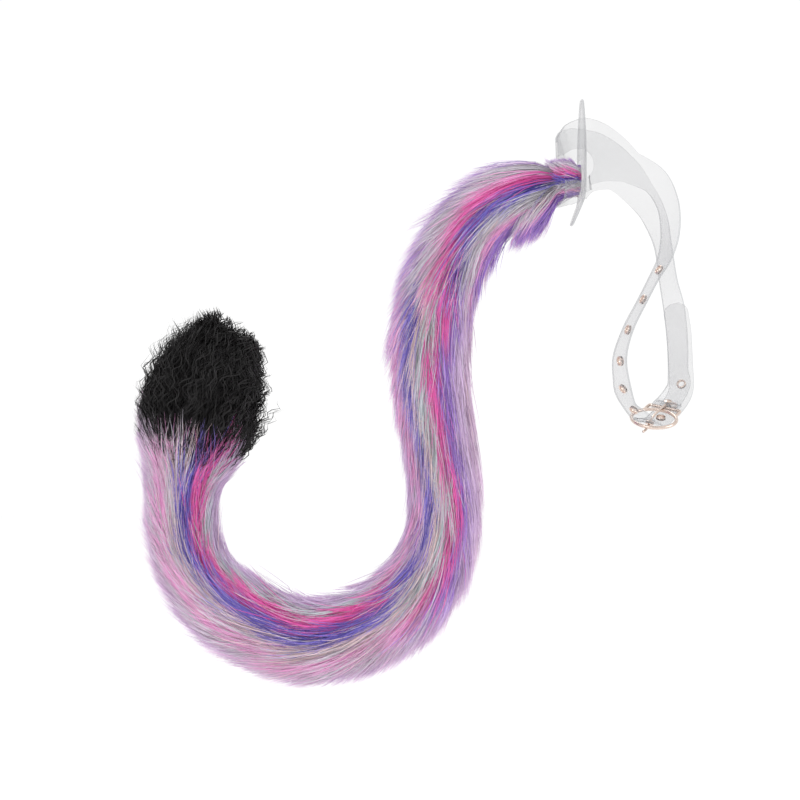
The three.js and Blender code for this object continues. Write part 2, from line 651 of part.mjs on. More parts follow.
// The belt with its openings: the hole for the tail's root, the eyelets' seats, the
// rivet's seat and the slot for the prong's loop
function makeBelt() {
  const reach = PLATE_WIDTH + 2 * SADDLE_CLEAR + SADDLE_HEIGHT;
  const hole = new THREE.CylinderGeometry(ROOT_HOLE_RADIUS, ROOT_HOLE_RADIUS, reach, HOLE_SIDES);
  hole.translate(-ROOT_HOLE_OUT, 0, -ROOT_HOLE_DROP);
  const neck = tailAt(SADDLE_OUT).at;
  const channelHalf = NECK_RADIUS + NECK_CLEAR;
  const channel = new THREE.BoxGeometry(SADDLE_OUT, CHANNEL_WIDTH, 2 * channelHalf);
  channel.translate(-SADDLE_OUT, 0, neck.z);
  const slot = rod(prongRoute(), PRONG_WIRE + GAP, PRONG_STEPS);
  const cuts = [toSolid(hole), toSolid(channel), toSolid(slot)];
  for (const place of eyeletPlaces) {
    const seat = turned(eyeletProfile(GAP, 0));
    seat.applyMatrix4(place);
    cuts.push(toSolid(seat));
  }
  const rivet = turned(rivetProfile(GAP));
  rivet.applyMatrix4(rivetPlace);
  cuts.push(toSolid(rivet));
  return toGeometry(toSolid(strip(beltFrames, BELT_THICK)).subtract(wasm.Manifold.union(cuts)));
}

const tail = new THREE.Group();

function place(name, geometry, material, matrix = new THREE.Matrix4()) {
  const mesh = new THREE.Mesh(geometry, new THREE.MeshStandardMaterial(material));
  mesh.name = name;
  mesh.applyMatrix4(matrix);
  tail.add(mesh);
}

place('fur_tail', makeFurTail(), MATERIALS.fur);
place('tip_tuft', makeTuft(), MATERIALS.black);
place('support_plate', makePlate(), MATERIALS.clear);
place('belt', makeBelt(), MATERIALS.clear);
eyeletPlaces.forEach((matrix, i) => {
  place(`eyelet_${i + 1}`, turned(eyeletProfile(0, EYELET_BORE)), MATERIALS.gold, matrix);
});
place('buckle_ring', makeRing(), MATERIALS.gold);
place('buckle_prong', makeProng(), MATERIALS.gold);
place('fold_rivet', turned(rivetProfile(0)), MATERIALS.gold, rivetPlace);

export default tail;
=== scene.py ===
"""A costume animal tail: striped fur with a curly black tip, a clear plate and a clear belt.

Lengths are in metres. +Z is up, +X points at the wearer's back, and the origin is the
middle of the plate's face that lies on the wearer.
"""
import logging
import math
from dataclasses import dataclass
from enum import Enum
from functools import cached_property
from typing import Sequence

import bmesh
import bpy
import numpy as np
from mathutils import Matrix, Vector


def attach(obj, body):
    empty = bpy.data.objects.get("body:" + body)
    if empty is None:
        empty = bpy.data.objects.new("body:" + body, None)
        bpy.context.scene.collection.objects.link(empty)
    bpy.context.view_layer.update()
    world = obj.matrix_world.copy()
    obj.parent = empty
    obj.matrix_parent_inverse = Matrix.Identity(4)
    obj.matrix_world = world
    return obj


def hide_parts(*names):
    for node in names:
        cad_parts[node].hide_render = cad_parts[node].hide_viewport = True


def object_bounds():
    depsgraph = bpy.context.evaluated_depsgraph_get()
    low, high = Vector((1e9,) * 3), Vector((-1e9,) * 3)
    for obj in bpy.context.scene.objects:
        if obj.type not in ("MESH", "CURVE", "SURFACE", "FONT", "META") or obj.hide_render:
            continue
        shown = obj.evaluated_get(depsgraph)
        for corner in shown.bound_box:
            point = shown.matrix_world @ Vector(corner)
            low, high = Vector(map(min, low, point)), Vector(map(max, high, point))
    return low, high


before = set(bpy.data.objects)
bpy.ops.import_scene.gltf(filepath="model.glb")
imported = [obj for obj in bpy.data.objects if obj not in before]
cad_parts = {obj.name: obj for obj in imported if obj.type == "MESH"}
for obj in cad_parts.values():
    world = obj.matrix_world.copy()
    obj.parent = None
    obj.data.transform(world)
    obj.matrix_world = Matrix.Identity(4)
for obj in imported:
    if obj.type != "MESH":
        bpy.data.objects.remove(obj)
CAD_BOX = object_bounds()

LOG = logging.getLogger("costume_tail")
MM = 0.001
GAP = 0.3 * MM
Array = np.ndarray


# Materials


class Signal:
    """A node's output that can be used in a Python expression."""

    def __init__(self, shader: "Shader", socket: bpy.types.NodeSocket) -> None:
        """Wrap one output socket of a shader."""
        self.shader = shader
        self.socket = socket

    def _math(
        self, operation: str, first: "Signal | float", second: "Signal | float"
    ) -> "Signal":
        """Join two numbers by a Math node.

        Args:
            operation: The Math node's operation.
            first: The first number or output.
            second: The second number or output.

        Returns:
            The Math node's output.
        """
        settings = {"operation": operation}
        return self.shader.node("ShaderNodeMath", settings, {0: first, 1: second})[0]

    def __add__(self, other: "Signal | float") -> "Signal":
        """Return this output plus another."""
        return self._math("ADD", self, other)

    def __radd__(self, other: float) -> "Signal":
        """Return a number plus this output."""
        return self._math("ADD", other, self)

    def __sub__(self, other: "Signal | float") -> "Signal":
        """Return this output less another."""
        return self._math("SUBTRACT", self, other)

    def __rsub__(self, other: float) -> "Signal":
        """Return a number less this output."""
        return self._math("SUBTRACT", other, self)

    def __mul__(self, other: "Signal | float") -> "Signal":
        """Return this output times another."""
        return self._math("MULTIPLY", self, other)

    def __rmul__(self, other: float) -> "Signal":
        """Return a number times this output."""
        return self._math("MULTIPLY", other, self)

    def __pow__(self, other: "Signal | float") -> "Signal":
        """Return this output raised to a power."""
        return self._math("POWER", self, other)

    def __rpow__(self, other: float) -> "Signal":
        """Return a number raised to this output."""
        return self._math("POWER", other, self)


class Shader:
    """A material under construction, with its node tree."""

    def __init__(self, name: str) -> None:
        """Start an empty material with a Principled shader."""
        self.material = bpy.data.materials.new(name)
        self.material.use_nodes = True
        self.tree = self.material.node_tree
        self.tree.nodes.clear()
        self.output = self.tree.nodes.new("ShaderNodeOutputMaterial")
        self.principled = self.tree.nodes.new("ShaderNodeBsdfPrincipled")
        self.tree.links.new(self.principled.outputs[0], self.output.inputs["Surface"])

    def node(
        self,
        kind: str,
        settings: dict[str, object] | None = None,
        inputs: dict[str | int, object] | None = None,
    ) -> list[Signal]:
        """Add one node.

        Args:
            kind: The node's type.
            settings: Its properties by name.
            inputs: Its inputs by name or number, each a value or a Signal.

        Returns:
            The node's outputs, in order.
        """
        made = self.tree.nodes.new(kind)
        for name, value in (settings or {}).items():
            setattr(made, name, value)
        for key, value in (inputs or {}).items():
            if isinstance(value, Signal):
                self.tree.links.new(value.socket, made.inputs[key])
            else:
                made.inputs[key].default_value = value
        return [Signal(self, socket) for socket in made.outputs]

    def scaled(self, colour: Signal, factor: Signal) -> Signal:
        """Return a colour times a number, by Vector Math."""
        settings = {"operation": "SCALE"}
        return self.node("ShaderNodeVectorMath", settings, {0: colour, "Scale": factor})[0]

    def mixed(self, factor: Signal, first: Sequence[float], second: Sequence[float]) -> Signal:
        """Return a mix of two plain colours.

        Args:
            factor: The share of the second colour.
            first: The first colour.
            second: The second colour.

        Returns:
            The Mix node's colour output.
        """
        settings = {"data_type": "RGBA"}
        colours = {0: factor, 6: (*first, 1.0), 7: (*second, 1.0)}
        return self.node("ShaderNodeMix", settings, colours)[2]

    def noise(self, scale: float, detail: float = 2.0) -> Signal:
        """Add noise on Object coordinates.

        Args:
            scale: The noise's scale.
            detail: The noise's detail.

        Returns:
            The noise, from 0 to 1.
        """
        place = self.node("ShaderNodeTexCoord")[3]
        inputs = {"Vector": place, "Scale": scale, "Detail": detail}
        return self.node("ShaderNodeTexNoise", None, inputs)[0]

    def surface(self, **inputs: object) -> None:
        """Set or link the Principled shader's inputs.

        Args:
            inputs: The values or Signals by the inputs' names, with underscores for spaces.
        """
        for key, value in inputs.items():
            socket = self.principled.inputs[key.replace("_", " ")]
            if isinstance(value, Signal):
                self.tree.links.new(value.socket, socket)
            else:
                socket.default_value = value

    def bumped(self, height: Signal, depth: float, strength: float) -> None:
        """Feed a height through a Bump node into the normal.

        Args:
            height: The height, from 0 to 1.
            depth: The height's real size.
            strength: The bump's share.
        """
        inputs = {"Height": height, "Distance": depth, "Strength": strength}
        self.surface(Normal=self.node("ShaderNodeBump", None, inputs)[0])


@dataclass(frozen=True)
class HairFinish:
    """Hair that takes its colour from its own strands, in faint patches, with a painted glow in
    that colour that lifts its shade.
    """

    name: str
    slot: str
    roughness: float
    gloss: float
    painted_glow: float
    patch_scale: float = 42.0
    patch_low: float = 0.84
    patch_rise: float = 0.32

    def make(self) -> bpy.types.Material:
        """Make the finish.

        Returns:
            The material.
        """
        shader = Shader(self.name)
        strand = shader.node("ShaderNodeAttribute", {"attribute_name": "Tint"})[0]
        patches = shader.noise(self.patch_scale)
        shader.surface(
            Base_Color=shader.scaled(strand, self.patch_low + patches * self.patch_rise),
            # Painted glow: the strands' own colour is given off as light to lift the fur's shade.
            Emission_Color=strand,
            Emission_Strength=self.painted_glow,
            Roughness=self.roughness,
            Specular_IOR_Level=self.gloss,
        )
        return shader.material


@dataclass(frozen=True)
class ClearFinish:
    """Soft clear plastic, fainter where it is seen straight on."""

    name: str
    slot: str = "clear_plastic"
    tone: tuple[float, float, float, float] = (0.36, 0.365, 0.38, 1.0)
    straight: float = 0.11
    slanting: float = 0.34
    falloff: float = 2.4
    roughness: float = 0.12
    haze_scale: float = 26.0
    haze_share: float = 0.04
    ripple_depth: float = 0.5 * MM
    ripple_share: float = 0.1

    def make(self) -> bpy.types.Material:
        """Make the finish.

        Returns:
            The material.
        """
        shader = Shader(self.name)
        facing = shader.node("ShaderNodeLayerWeight", None, {"Blend": 0.5})[1]
        haze = shader.noise(self.haze_scale)
        slanted = facing**self.falloff * self.slanting
        shader.surface(
            Base_Color=self.tone,
            Alpha=self.straight + haze * self.haze_share + slanted,
            Roughness=self.roughness,
            IOR=1.45,
        )
        shader.bumped(haze, self.ripple_depth, self.ripple_share)
        return shader.material


@dataclass(frozen=True)
class MetalFinish:
    """Polished rose-gold metal with faint wear."""

    name: str
    slot: str = "rose_gold"
    bright: tuple[float, float, float] = (0.75, 0.63, 0.56)
    dull: tuple[float, float, float] = (0.5, 0.39, 0.33)
    wear_scale: float = 420.0
    polish: float = 0.16
    wear_roughness: float = 0.16

    def make(self) -> bpy.types.Material:
        """Make the finish.

        Returns:
            The material.
        """
        shader = Shader(self.name)
        wear = shader.noise(self.wear_scale, 3.0)
        shader.surface(
            Base_Color=shader.mixed(wear**2, self.bright, self.dull),
            Metallic=1.0,
            Roughness=self.polish + wear * self.wear_roughness,
        )
        return shader.material


@dataclass(frozen=True)
class FloorFinish:
    """A plain pale floor."""

    name: str
    colour: tuple[float, float, float, float] = (0.98, 0.98, 0.98, 1.0)

    def make(self) -> bpy.types.Material:
        """Make the finish.

        Returns:
            The material.
        """
        shader = Shader(self.name)
        shader.surface(Base_Color=self.colour, Roughness=0.9, Specular_IOR_Level=0.1)
        return shader.material


class Finish(Enum):
    """The finishes of the tail's pieces."""

    # The last number of each hair finish is its painted glow, which lifts the striped fur's
    # shade.
    STRIPED_FUR = HairFinish("striped_fur_hair", "striped_fur", 0.62, 0.25, 0.07)
    BLACK_FUR = HairFinish("black_tuft_hair", "black_fur", 0.5, 0.35, 0.0)
    CLEAR = ClearFinish("clear_soft_plastic")
    # A more opaque grey on the clear plastic's narrow edges: painted shade for the dark lines
    # that refraction gives them.
    CLEAR_EDGE = ClearFinish("clear_plastic_edge", straight=0.46, slanting=0.16)
    ROSE_GOLD = MetalFinish("polished_rose_gold")


MATERIALS: dict[Finish, bpy.types.Material] = {kind: kind.value.make() for kind in Finish}


def dress(piece: bpy.types.Object, finish: Finish, *nodes: str) -> bpy.types.Object:
    """Give a piece its finish and its body, and hide the CAD nodes that it stands for.

    Args:
        piece: The finished piece.
        finish: Its finish.
        nodes: The CAD nodes that it replaces.

    Returns:
        The same piece.
    """
    piece.data.materials.clear()
    piece.data.materials.append(MATERIALS[finish])
    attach(piece, "root")
    if nodes:
        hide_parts(*nodes)
    LOG.info("%s: %d faces", piece.name, len(piece.data.polygons))
    return piece


def piece_from(name: str, form: bmesh.types.BMesh) -> bpy.types.Object:
    """Turn a bmesh into a smooth piece.

    Args:
        name: The piece's name.
        form: The bmesh, which is freed.

    Returns:
        The new object, at the origin.
    """
    bmesh.ops.recalc_face_normals(form, faces=form.faces[:])
    for face in form.faces:
        face.smooth = True
    mesh = bpy.data.meshes.new(name)
    form.to_mesh(mesh)
    form.free()
    piece = bpy.data.objects.new(name, mesh)
    bpy.context.scene.collection.objects.link(piece)
    return piece


def pushed(
    form: bmesh.types.BMesh, face: bmesh.types.BMFace, ring: list[bmesh.types.BMVert]
) -> tuple[bmesh.types.BMFace, list[bmesh.types.BMVert]]:
    """Extrude an end face, with its points kept in their order.

    Args:
        form: The bmesh.
        face: The end face.
        ring: The face's points, in order.

    Returns:
        The new end face and its points, each across from the one before it.
    """
    made = bmesh.ops.extrude_face_region(form, geom=[face])["geom"]
    if all(len(edge.link_faces) > 2 for edge in face.edges):
        form.faces.remove(face)
    end = next(part for part in made if isinstance(part, bmesh.types.BMFace))
    points = set(end.verts)
    after = []
    for vert in ring:
        others = (edge.other_vert(vert) for edge in vert.link_edges)
        after.append(next(other for other in others if other in points))
    return end, after


def sharpen(piece: bpy.types.Object, angle: float = 40.0) -> None:
    """Mark the edges that are sharper than an angle in degrees as creases of the shading."""
    piece.data.set_sharp_from_angle(angle=math.radians(angle))


# The tail's middle and the reach of its hair


@dataclass(frozen=True)
class Bend:
    """One row of the tail's bends: heading in degrees, full as a share of the reach."""

    along: float
    heading: float
    full: float


@dataclass(frozen=True)
class TailLine:
    """The tail's middle line, from the plate to the end of the tuft."""

    length: float = 0.8
    drop: float = 0.012
    start: float = -0.0023
    fur_reach: float = 0.034
    tuft_length: float = 0.132
    tuft_reach: float = 0.0478
    squeeze_at: float = 0.0195
    squeeze_width: float = 0.007
    squeeze_reach: float = 0.0176
    steps: int = 400
    sharpest: float = 7.5
    lean_start: float = 0.35
    bends: tuple[Bend, ...] = (
        Bend(0.0, 180, 0.5), Bend(0.02, 187, 0.52), Bend(0.03, 190, 0.66),
        Bend(0.04, 194, 0.76), Bend(0.06, 203, 0.81),
        Bend(0.1, 222, 0.84), Bend(0.14, 239, 0.87), Bend(0.18, 253, 0.92),
        Bend(0.225, 264, 0.95), Bend(0.27, 273, 0.91), Bend(0.31, 278, 0.86),
        Bend(0.36, 277, 0.82), Bend(0.405, 269, 0.81), Bend(0.445, 254, 0.86),
        Bend(0.485, 233, 0.93), Bend(0.52, 214, 0.95), Bend(0.56, 200, 0.97),
        Bend(0.6, 181, 0.99), Bend(0.64, 161, 1.0), Bend(0.685, 146, 0.96),
        Bend(0.73, 126, 0.87), Bend(0.77, 102, 0.84), Bend(0.81, 86, 0.83),
        Bend(0.85, 77, 0.85), Bend(0.9, 77, 0.85), Bend(0.95, 66, 0.85), Bend(1.0, 56, 0.85),
    )
    tuft_outline: tuple[tuple[float, float], ...] = (
        (0.0, 0.62), (0.16, 0.82), (0.34, 0.93), (0.5, 0.91), (0.66, 0.81), (0.82, 0.6),
        (0.92, 0.4), (1.0, 0.2),
    )

    @property
    def fur_end(self) -> float:
        """Return the length at which the tuft starts."""
        return self.length - self.tuft_length

    @cached_property
    def shares(self) -> Array:
        """Return the shares of the length at the steps of the walk."""
        return np.linspace(0.0, 1.0, self.steps + 1)

    @cached_property
    def headings(self) -> Array:
        """Return the heading at each step, in radians."""
        rows = [(bend.along, bend.heading) for bend in self.bends]
        return np.radians(np.interp(self.shares, *zip(*rows)))

    @cached_property
    def middle(self) -> Array:
        """Walk along the bends.

        Returns:
            The points of the middle line.
        """
        ahead = np.stack([np.cos(self.headings), 0 * self.headings, np.sin(self.headings)], 1)
        steps = np.cumsum(ahead[:-1], axis=0) * (self.length / self.steps)
        first = np.array([[self.start, 0.0, -self.drop]])
        return np.concatenate([first, first + steps])

    def around(self, length: Array, turn: Array, radius: Array) -> Array:
        """Return points off the middle line.

        Args:
            length: The length along the tail; past its end the line goes straight on.
            turn: The angle round it, from the outer side of the first bend.
            radius: The distance from the middle.

        Returns:
            The points, on a last axis of three.
        """
        share = np.clip(length / self.length, 0.0, 1.0)
        heading = np.interp(share, self.shares, self.headings)
        ahead = np.stack([np.cos(heading), 0 * heading, np.sin(heading)], -1)
        over = np.stack([ahead[..., 2], 0 * heading, -ahead[..., 0]], -1)
        columns = [np.interp(share, self.shares, self.middle[:, i]) for i in range(3)]
        beyond = (length - share * self.length)[..., None]
        side = np.array([0.0, 1.0, 0.0])
        off = over * np.cos(turn)[..., None] + side * np.sin(turn)[..., None]
        return np.stack(columns, -1) + ahead * beyond + off * radius[..., None]

    def reach(self, length: Array) -> Array:
        """Return the hair's reach from the middle line.

        Args:
            length: The length along the tail.

        Returns:
            The reach at each length.
        """
        along = np.clip(length / self.length, 0.0, 1.0)
        rows = [(bend.along, bend.full) for bend in self.bends]
        fur = np.interp(along, *zip(*rows)) * self.fur_reach
        past = (length - self.fur_end) / self.tuft_length
        tuft = np.interp(past, *zip(*self.tuft_outline)) * self.tuft_reach
        squeeze = np.exp(-(((length - self.squeeze_at) / self.squeeze_width) ** 4))
        fur = fur + (self.squeeze_reach - fur) * squeeze
        return np.where(length > self.fur_end, tuft, fur)

    def bending(self, length: Array) -> Array:
        """Return how fast the heading changes at each length, in radians for a metre."""
        rate = np.gradient(self.headings, self.length / self.steps)
        return np.interp(length / self.length, self.shares, rate)

    def outer(self, length: Array, turn: Array) -> Array:
        """Return how far each place is on the outer side of a bend, from -1 to 1."""
        return np.clip(np.cos(turn) * self.bending(length) / self.sharpest, -1.0, 1.0)

    def sideways(self, length: Array, turn: Array) -> Array:
        """Return how far hair at each place leans round towards the outer side of a bend."""
        bent = np.clip(self.bending(length) / self.sharpest, -1.0, 1.0)
        return -np.sin(turn) * bent * np.clip(self.lean_start + np.cos(turn) * bent, 0.0, 1.0)


TAIL = TailLine()


# Colours of the fur


def linear(red: int, green: int, blue: int) -> tuple[float, float, float]:
    """Return a display colour from 0 to 255 as scene values."""
    shares = [value / 255 for value in (red, green, blue)]
    return tuple(v / 12.92 if v <= 0.04045 else ((v + 0.055) / 1.055) ** 2.4 for v in shares)


class Tint(Enum):
    """The dyes of the striped fur and the black of the tuft."""

    LAVENDER = linear(206, 182, 214)
    LILAC = linear(212, 188, 212)
    PINK = linear(230, 162, 208)
    MAGENTA = linear(226, 92, 172)
    BLUE_VIOLET = linear(112, 100, 192)
    VIOLET = linear(156, 120, 202)
    SILVER = linear(204, 200, 208)
    TEAL_GREY = linear(190, 202, 204)
    PEACH = linear(226, 200, 200)
    BLACK = linear(17, 15, 16)


@dataclass(frozen=True)
class Stripes:
    """Bands of dye round the tail, each up to an angle in degrees."""

    bands: tuple[tuple[float, Tint], ...]

    def tints(self, degrees: Array) -> Array:
        """Return the dye at each angle round the tail.

        Args:
            degrees: The angles, from the outer side of the first bend towards the viewer.

        Returns:
            The colours, on a last axis of three.
        """
        edges = np.array([until for until, _ in self.bands])
        colours = np.array([tint.value for _, tint in self.bands])
        return colours[np.searchsorted(edges, np.mod(degrees, 360.0)) % len(edges)]


BACK_BANDS = (
    (206, Tint.LILAC), (222, Tint.PINK), (240, Tint.LAVENDER), (256, Tint.VIOLET),
    (276, Tint.SILVER), (291, Tint.MAGENTA), (306, Tint.BLUE_VIOLET), (334, Tint.SILVER),
    (360, Tint.LAVENDER),
)
ROOT_STRIPES = Stripes((
    (20, Tint.LAVENDER), (34, Tint.VIOLET), (46, Tint.LAVENDER), (75, Tint.SILVER),
    (82, Tint.PINK), (97, Tint.MAGENTA), (111, Tint.BLUE_VIOLET), (134, Tint.SILVER),
    (148, Tint.PINK), (182, Tint.VIOLET), *BACK_BANDS,
))
UPPER_STRIPES = Stripes((
    (26, Tint.LAVENDER), (42, Tint.PINK), (51, Tint.LILAC), (69, Tint.BLUE_VIOLET),
    (78, Tint.PEACH), (93, Tint.TEAL_GREY), (109, Tint.MAGENTA), (125, Tint.VIOLET),
    (152, Tint.LAVENDER), (182, Tint.LILAC), *BACK_BANDS,
))
LOWER_STRIPES = Stripes((
    (28, Tint.LAVENDER), (42, Tint.TEAL_GREY), (63, Tint.MAGENTA), (82, Tint.BLUE_VIOLET),
    (89, Tint.PEACH), (98, Tint.SILVER), (114, Tint.PINK), (130, Tint.SILVER),
    (150, Tint.LILAC), (182, Tint.LAVENDER), *BACK_BANDS,
))
STRIPE_CHANGES = ((0.15, UPPER_STRIPES), (0.455, LOWER_STRIPES))


@dataclass(frozen=True)
class Wander:
    """A wave of the stripes round the tail: its size in degrees, rate and phase."""

    size: float
    rate: float
    phase: float


WANDERS = (Wander(5.0, 31.0, 0.0), Wander(3.0, 83.0, 1.3))
STRIPE_BLUR = 4.2
CHANGE_BLUR = 0.012
STRAY_SHARE = 0.08
STRAY_TINTS = (Tint.LILAC, Tint.SILVER, Tint.PEACH)
BRIGHTNESS_SPREAD = 0.1


def fur_tints(length: Array, turn: Array, draw: np.random.Generator) -> Array:
    """Return the dye of each strand of the striped fur.

    Args:
        length: Where each strand is rooted along the tail.
        turn: The angle round it.
        draw: The source of random numbers.

    Returns:
        The colours, on a last axis of three.
    """
    along = length / TAIL.length
    wander = sum(wave.size * np.sin(along * wave.rate + wave.phase) for wave in WANDERS)
    degrees = -np.degrees(turn) + wander + draw.normal(0.0, STRIPE_BLUR, length.shape)
    colours = ROOT_STRIPES.tints(degrees)
    for change, after in STRIPE_CHANGES:
        changed = along + draw.normal(0.0, CHANGE_BLUR, length.shape) > change
        colours = np.where(changed[..., None], after.tints(degrees), colours)
    stray = draw.random(length.shape) < STRAY_SHARE
    others = np.array([tint.value for tint in STRAY_TINTS])
    picks = draw.integers(0, len(others), length.shape)
    colours = np.where(stray[..., None], others[picks], colours)
    bright = draw.normal(1.0, BRIGHTNESS_SPREAD, length.shape)[..., None]
    return colours * bright.clip(0.7, 1.3)


# Hair


STRAND_TAPER = ((0.0, 0.8), (0.35, 1.0), (0.75, 0.7), (1.0, 0.0))
SLANT = (0.31, 0.87, 0.38)


def hair_piece(
    name: str, points: Array, width: Array, roll: Array, tint: Array
) -> bpy.types.Object:
    """Join strands into one mesh of narrow ribbons, each ending in a point.

    Args:
        name: The piece's name.
        points: The strands' points, by strand, by point, by axis.
        width: Each strand's width where it is widest.
        roll: Each strand's turn about itself, in radians.
        tint: The colour at each point of each strand.

    Returns:
        The new object.
    """
    strands, count, _ = points.shape
    tangent = np.gradient(points, axis=1)
    tangent /= np.linalg.norm(tangent, axis=2, keepdims=True) + 1e-12
    across = np.cross(tangent, np.array(SLANT))
    across /= np.linalg.norm(across, axis=2, keepdims=True) + 1e-12
    other = np.cross(tangent, across)
    flat = across * np.cos(roll)[:, None, None] + other * np.sin(roll)[:, None, None]
    taper = np.interp(np.linspace(0, 1, count), *zip(*STRAND_TAPER))
    half = flat * (width[:, None] * taper[None, :] / 2)[:, :, None]
    pairs = np.stack([points - half, points + half], axis=2)[:, :-1]
    corners = np.concatenate([pairs.reshape(strands, -1, 3), points[:, -1:]], axis=1)
    tints = np.concatenate([np.repeat(tint[:, :-1], 2, axis=1), tint[:, -1:]], axis=1)
    faces = []
    for i in range(count - 2):
        low = 2 * i
        faces += [(low, low + 1, low + 3), (low, low + 3, low + 2)]
    last = 2 * (count - 2)
    faces.append((last, last + 1, last + 2))
    each = corners.shape[1]
    triangles = np.arange(strands)[:, None, None] * each + np.array(faces)[None]
    triangles = triangles.reshape(-1, 3)
    mesh = bpy.data.meshes.new(name)
    mesh.vertices.add(strands * each)
    mesh.vertices.foreach_set("co", corners.astype(np.float32).ravel())
    mesh.loops.add(triangles.size)
    mesh.loops.foreach_set("vertex_index", triangles.astype(np.int32).ravel())
    mesh.polygons.add(len(triangles))
    mesh.polygons.foreach_set("loop_start", np.arange(0, triangles.size, 3, dtype=np.int32))
    mesh.polygons.foreach_set("use_smooth", np.ones(len(triangles), dtype=bool))
    mesh.update(calc_edges=True)
    colours = np.ones((strands * each, 4), dtype=np.float32)
    colours[:, :3] = tints.reshape(-1, 3)
    mesh.color_attributes.new("Tint", "FLOAT_COLOR", "POINT").data.foreach_set(
        "color", colours.ravel()
    )
    piece = bpy.data.objects.new(name, mesh)
    bpy.context.scene.collection.objects.link(piece)
    return piece


@dataclass(frozen=True)
class Habit:
    """How hair strays from an even lie, in every coat."""

    clump_length: float = 0.16
    strand_length: float = 0.1
    root_base: float = 0.011
    root_slope: float = 0.05
    root_scatter: float = 0.6
    turn: float = 0.24
    reach: float = 0.03
    outer_reach: float = 0.07
    outer_short: float = 0.22
    flyaways: float = 0.04
    flyaway_reach: tuple[float, float] = (0.05, 0.2)
    pull_power: float = 1.6
    pull_along: float = 0.7
    pull_out: float = 0.5
    past_limit: float = 0.25
    lean_power: float = 1.2
    rise_power: float = 0.72
    rise_outer: float = 0.6
    wave_root: float = 0.25
    wave_phase: float = 0.5
    wave_offbeat: float = 0.83
    wave_core: float = 0.006
    droop_power: float = 1.5
    widths: tuple[float, float] = (0.7, 1.25)
    blacks: tuple[float, float] = (0.5, 2.0)
    tip_paleness: float = 0.22
    pale_dye: float = 1.05


HABIT = Habit()
# Painted shade along a strand, from root to tip: darkest at the root, where the hair lies in
# shade, with a little painted light at the tip.
PAINTED_SHADE_ALONG = ((0.0, 0.5), (0.3, 0.82), (0.7, 1.0), (1.0, 1.12))


@dataclass(frozen=True)
class Clumps:
    """Where the clumps of a coat are rooted and how they lie."""

    root: Array
    turn: Array
    length: Array
    reach: Array
    phase: Array

    def each(self, count: int) -> "Clumps":
        """Return the clump of each strand, with a number of strands to a clump."""
        return Clumps(*(np.repeat(values, count) for values in vars(self).values()))


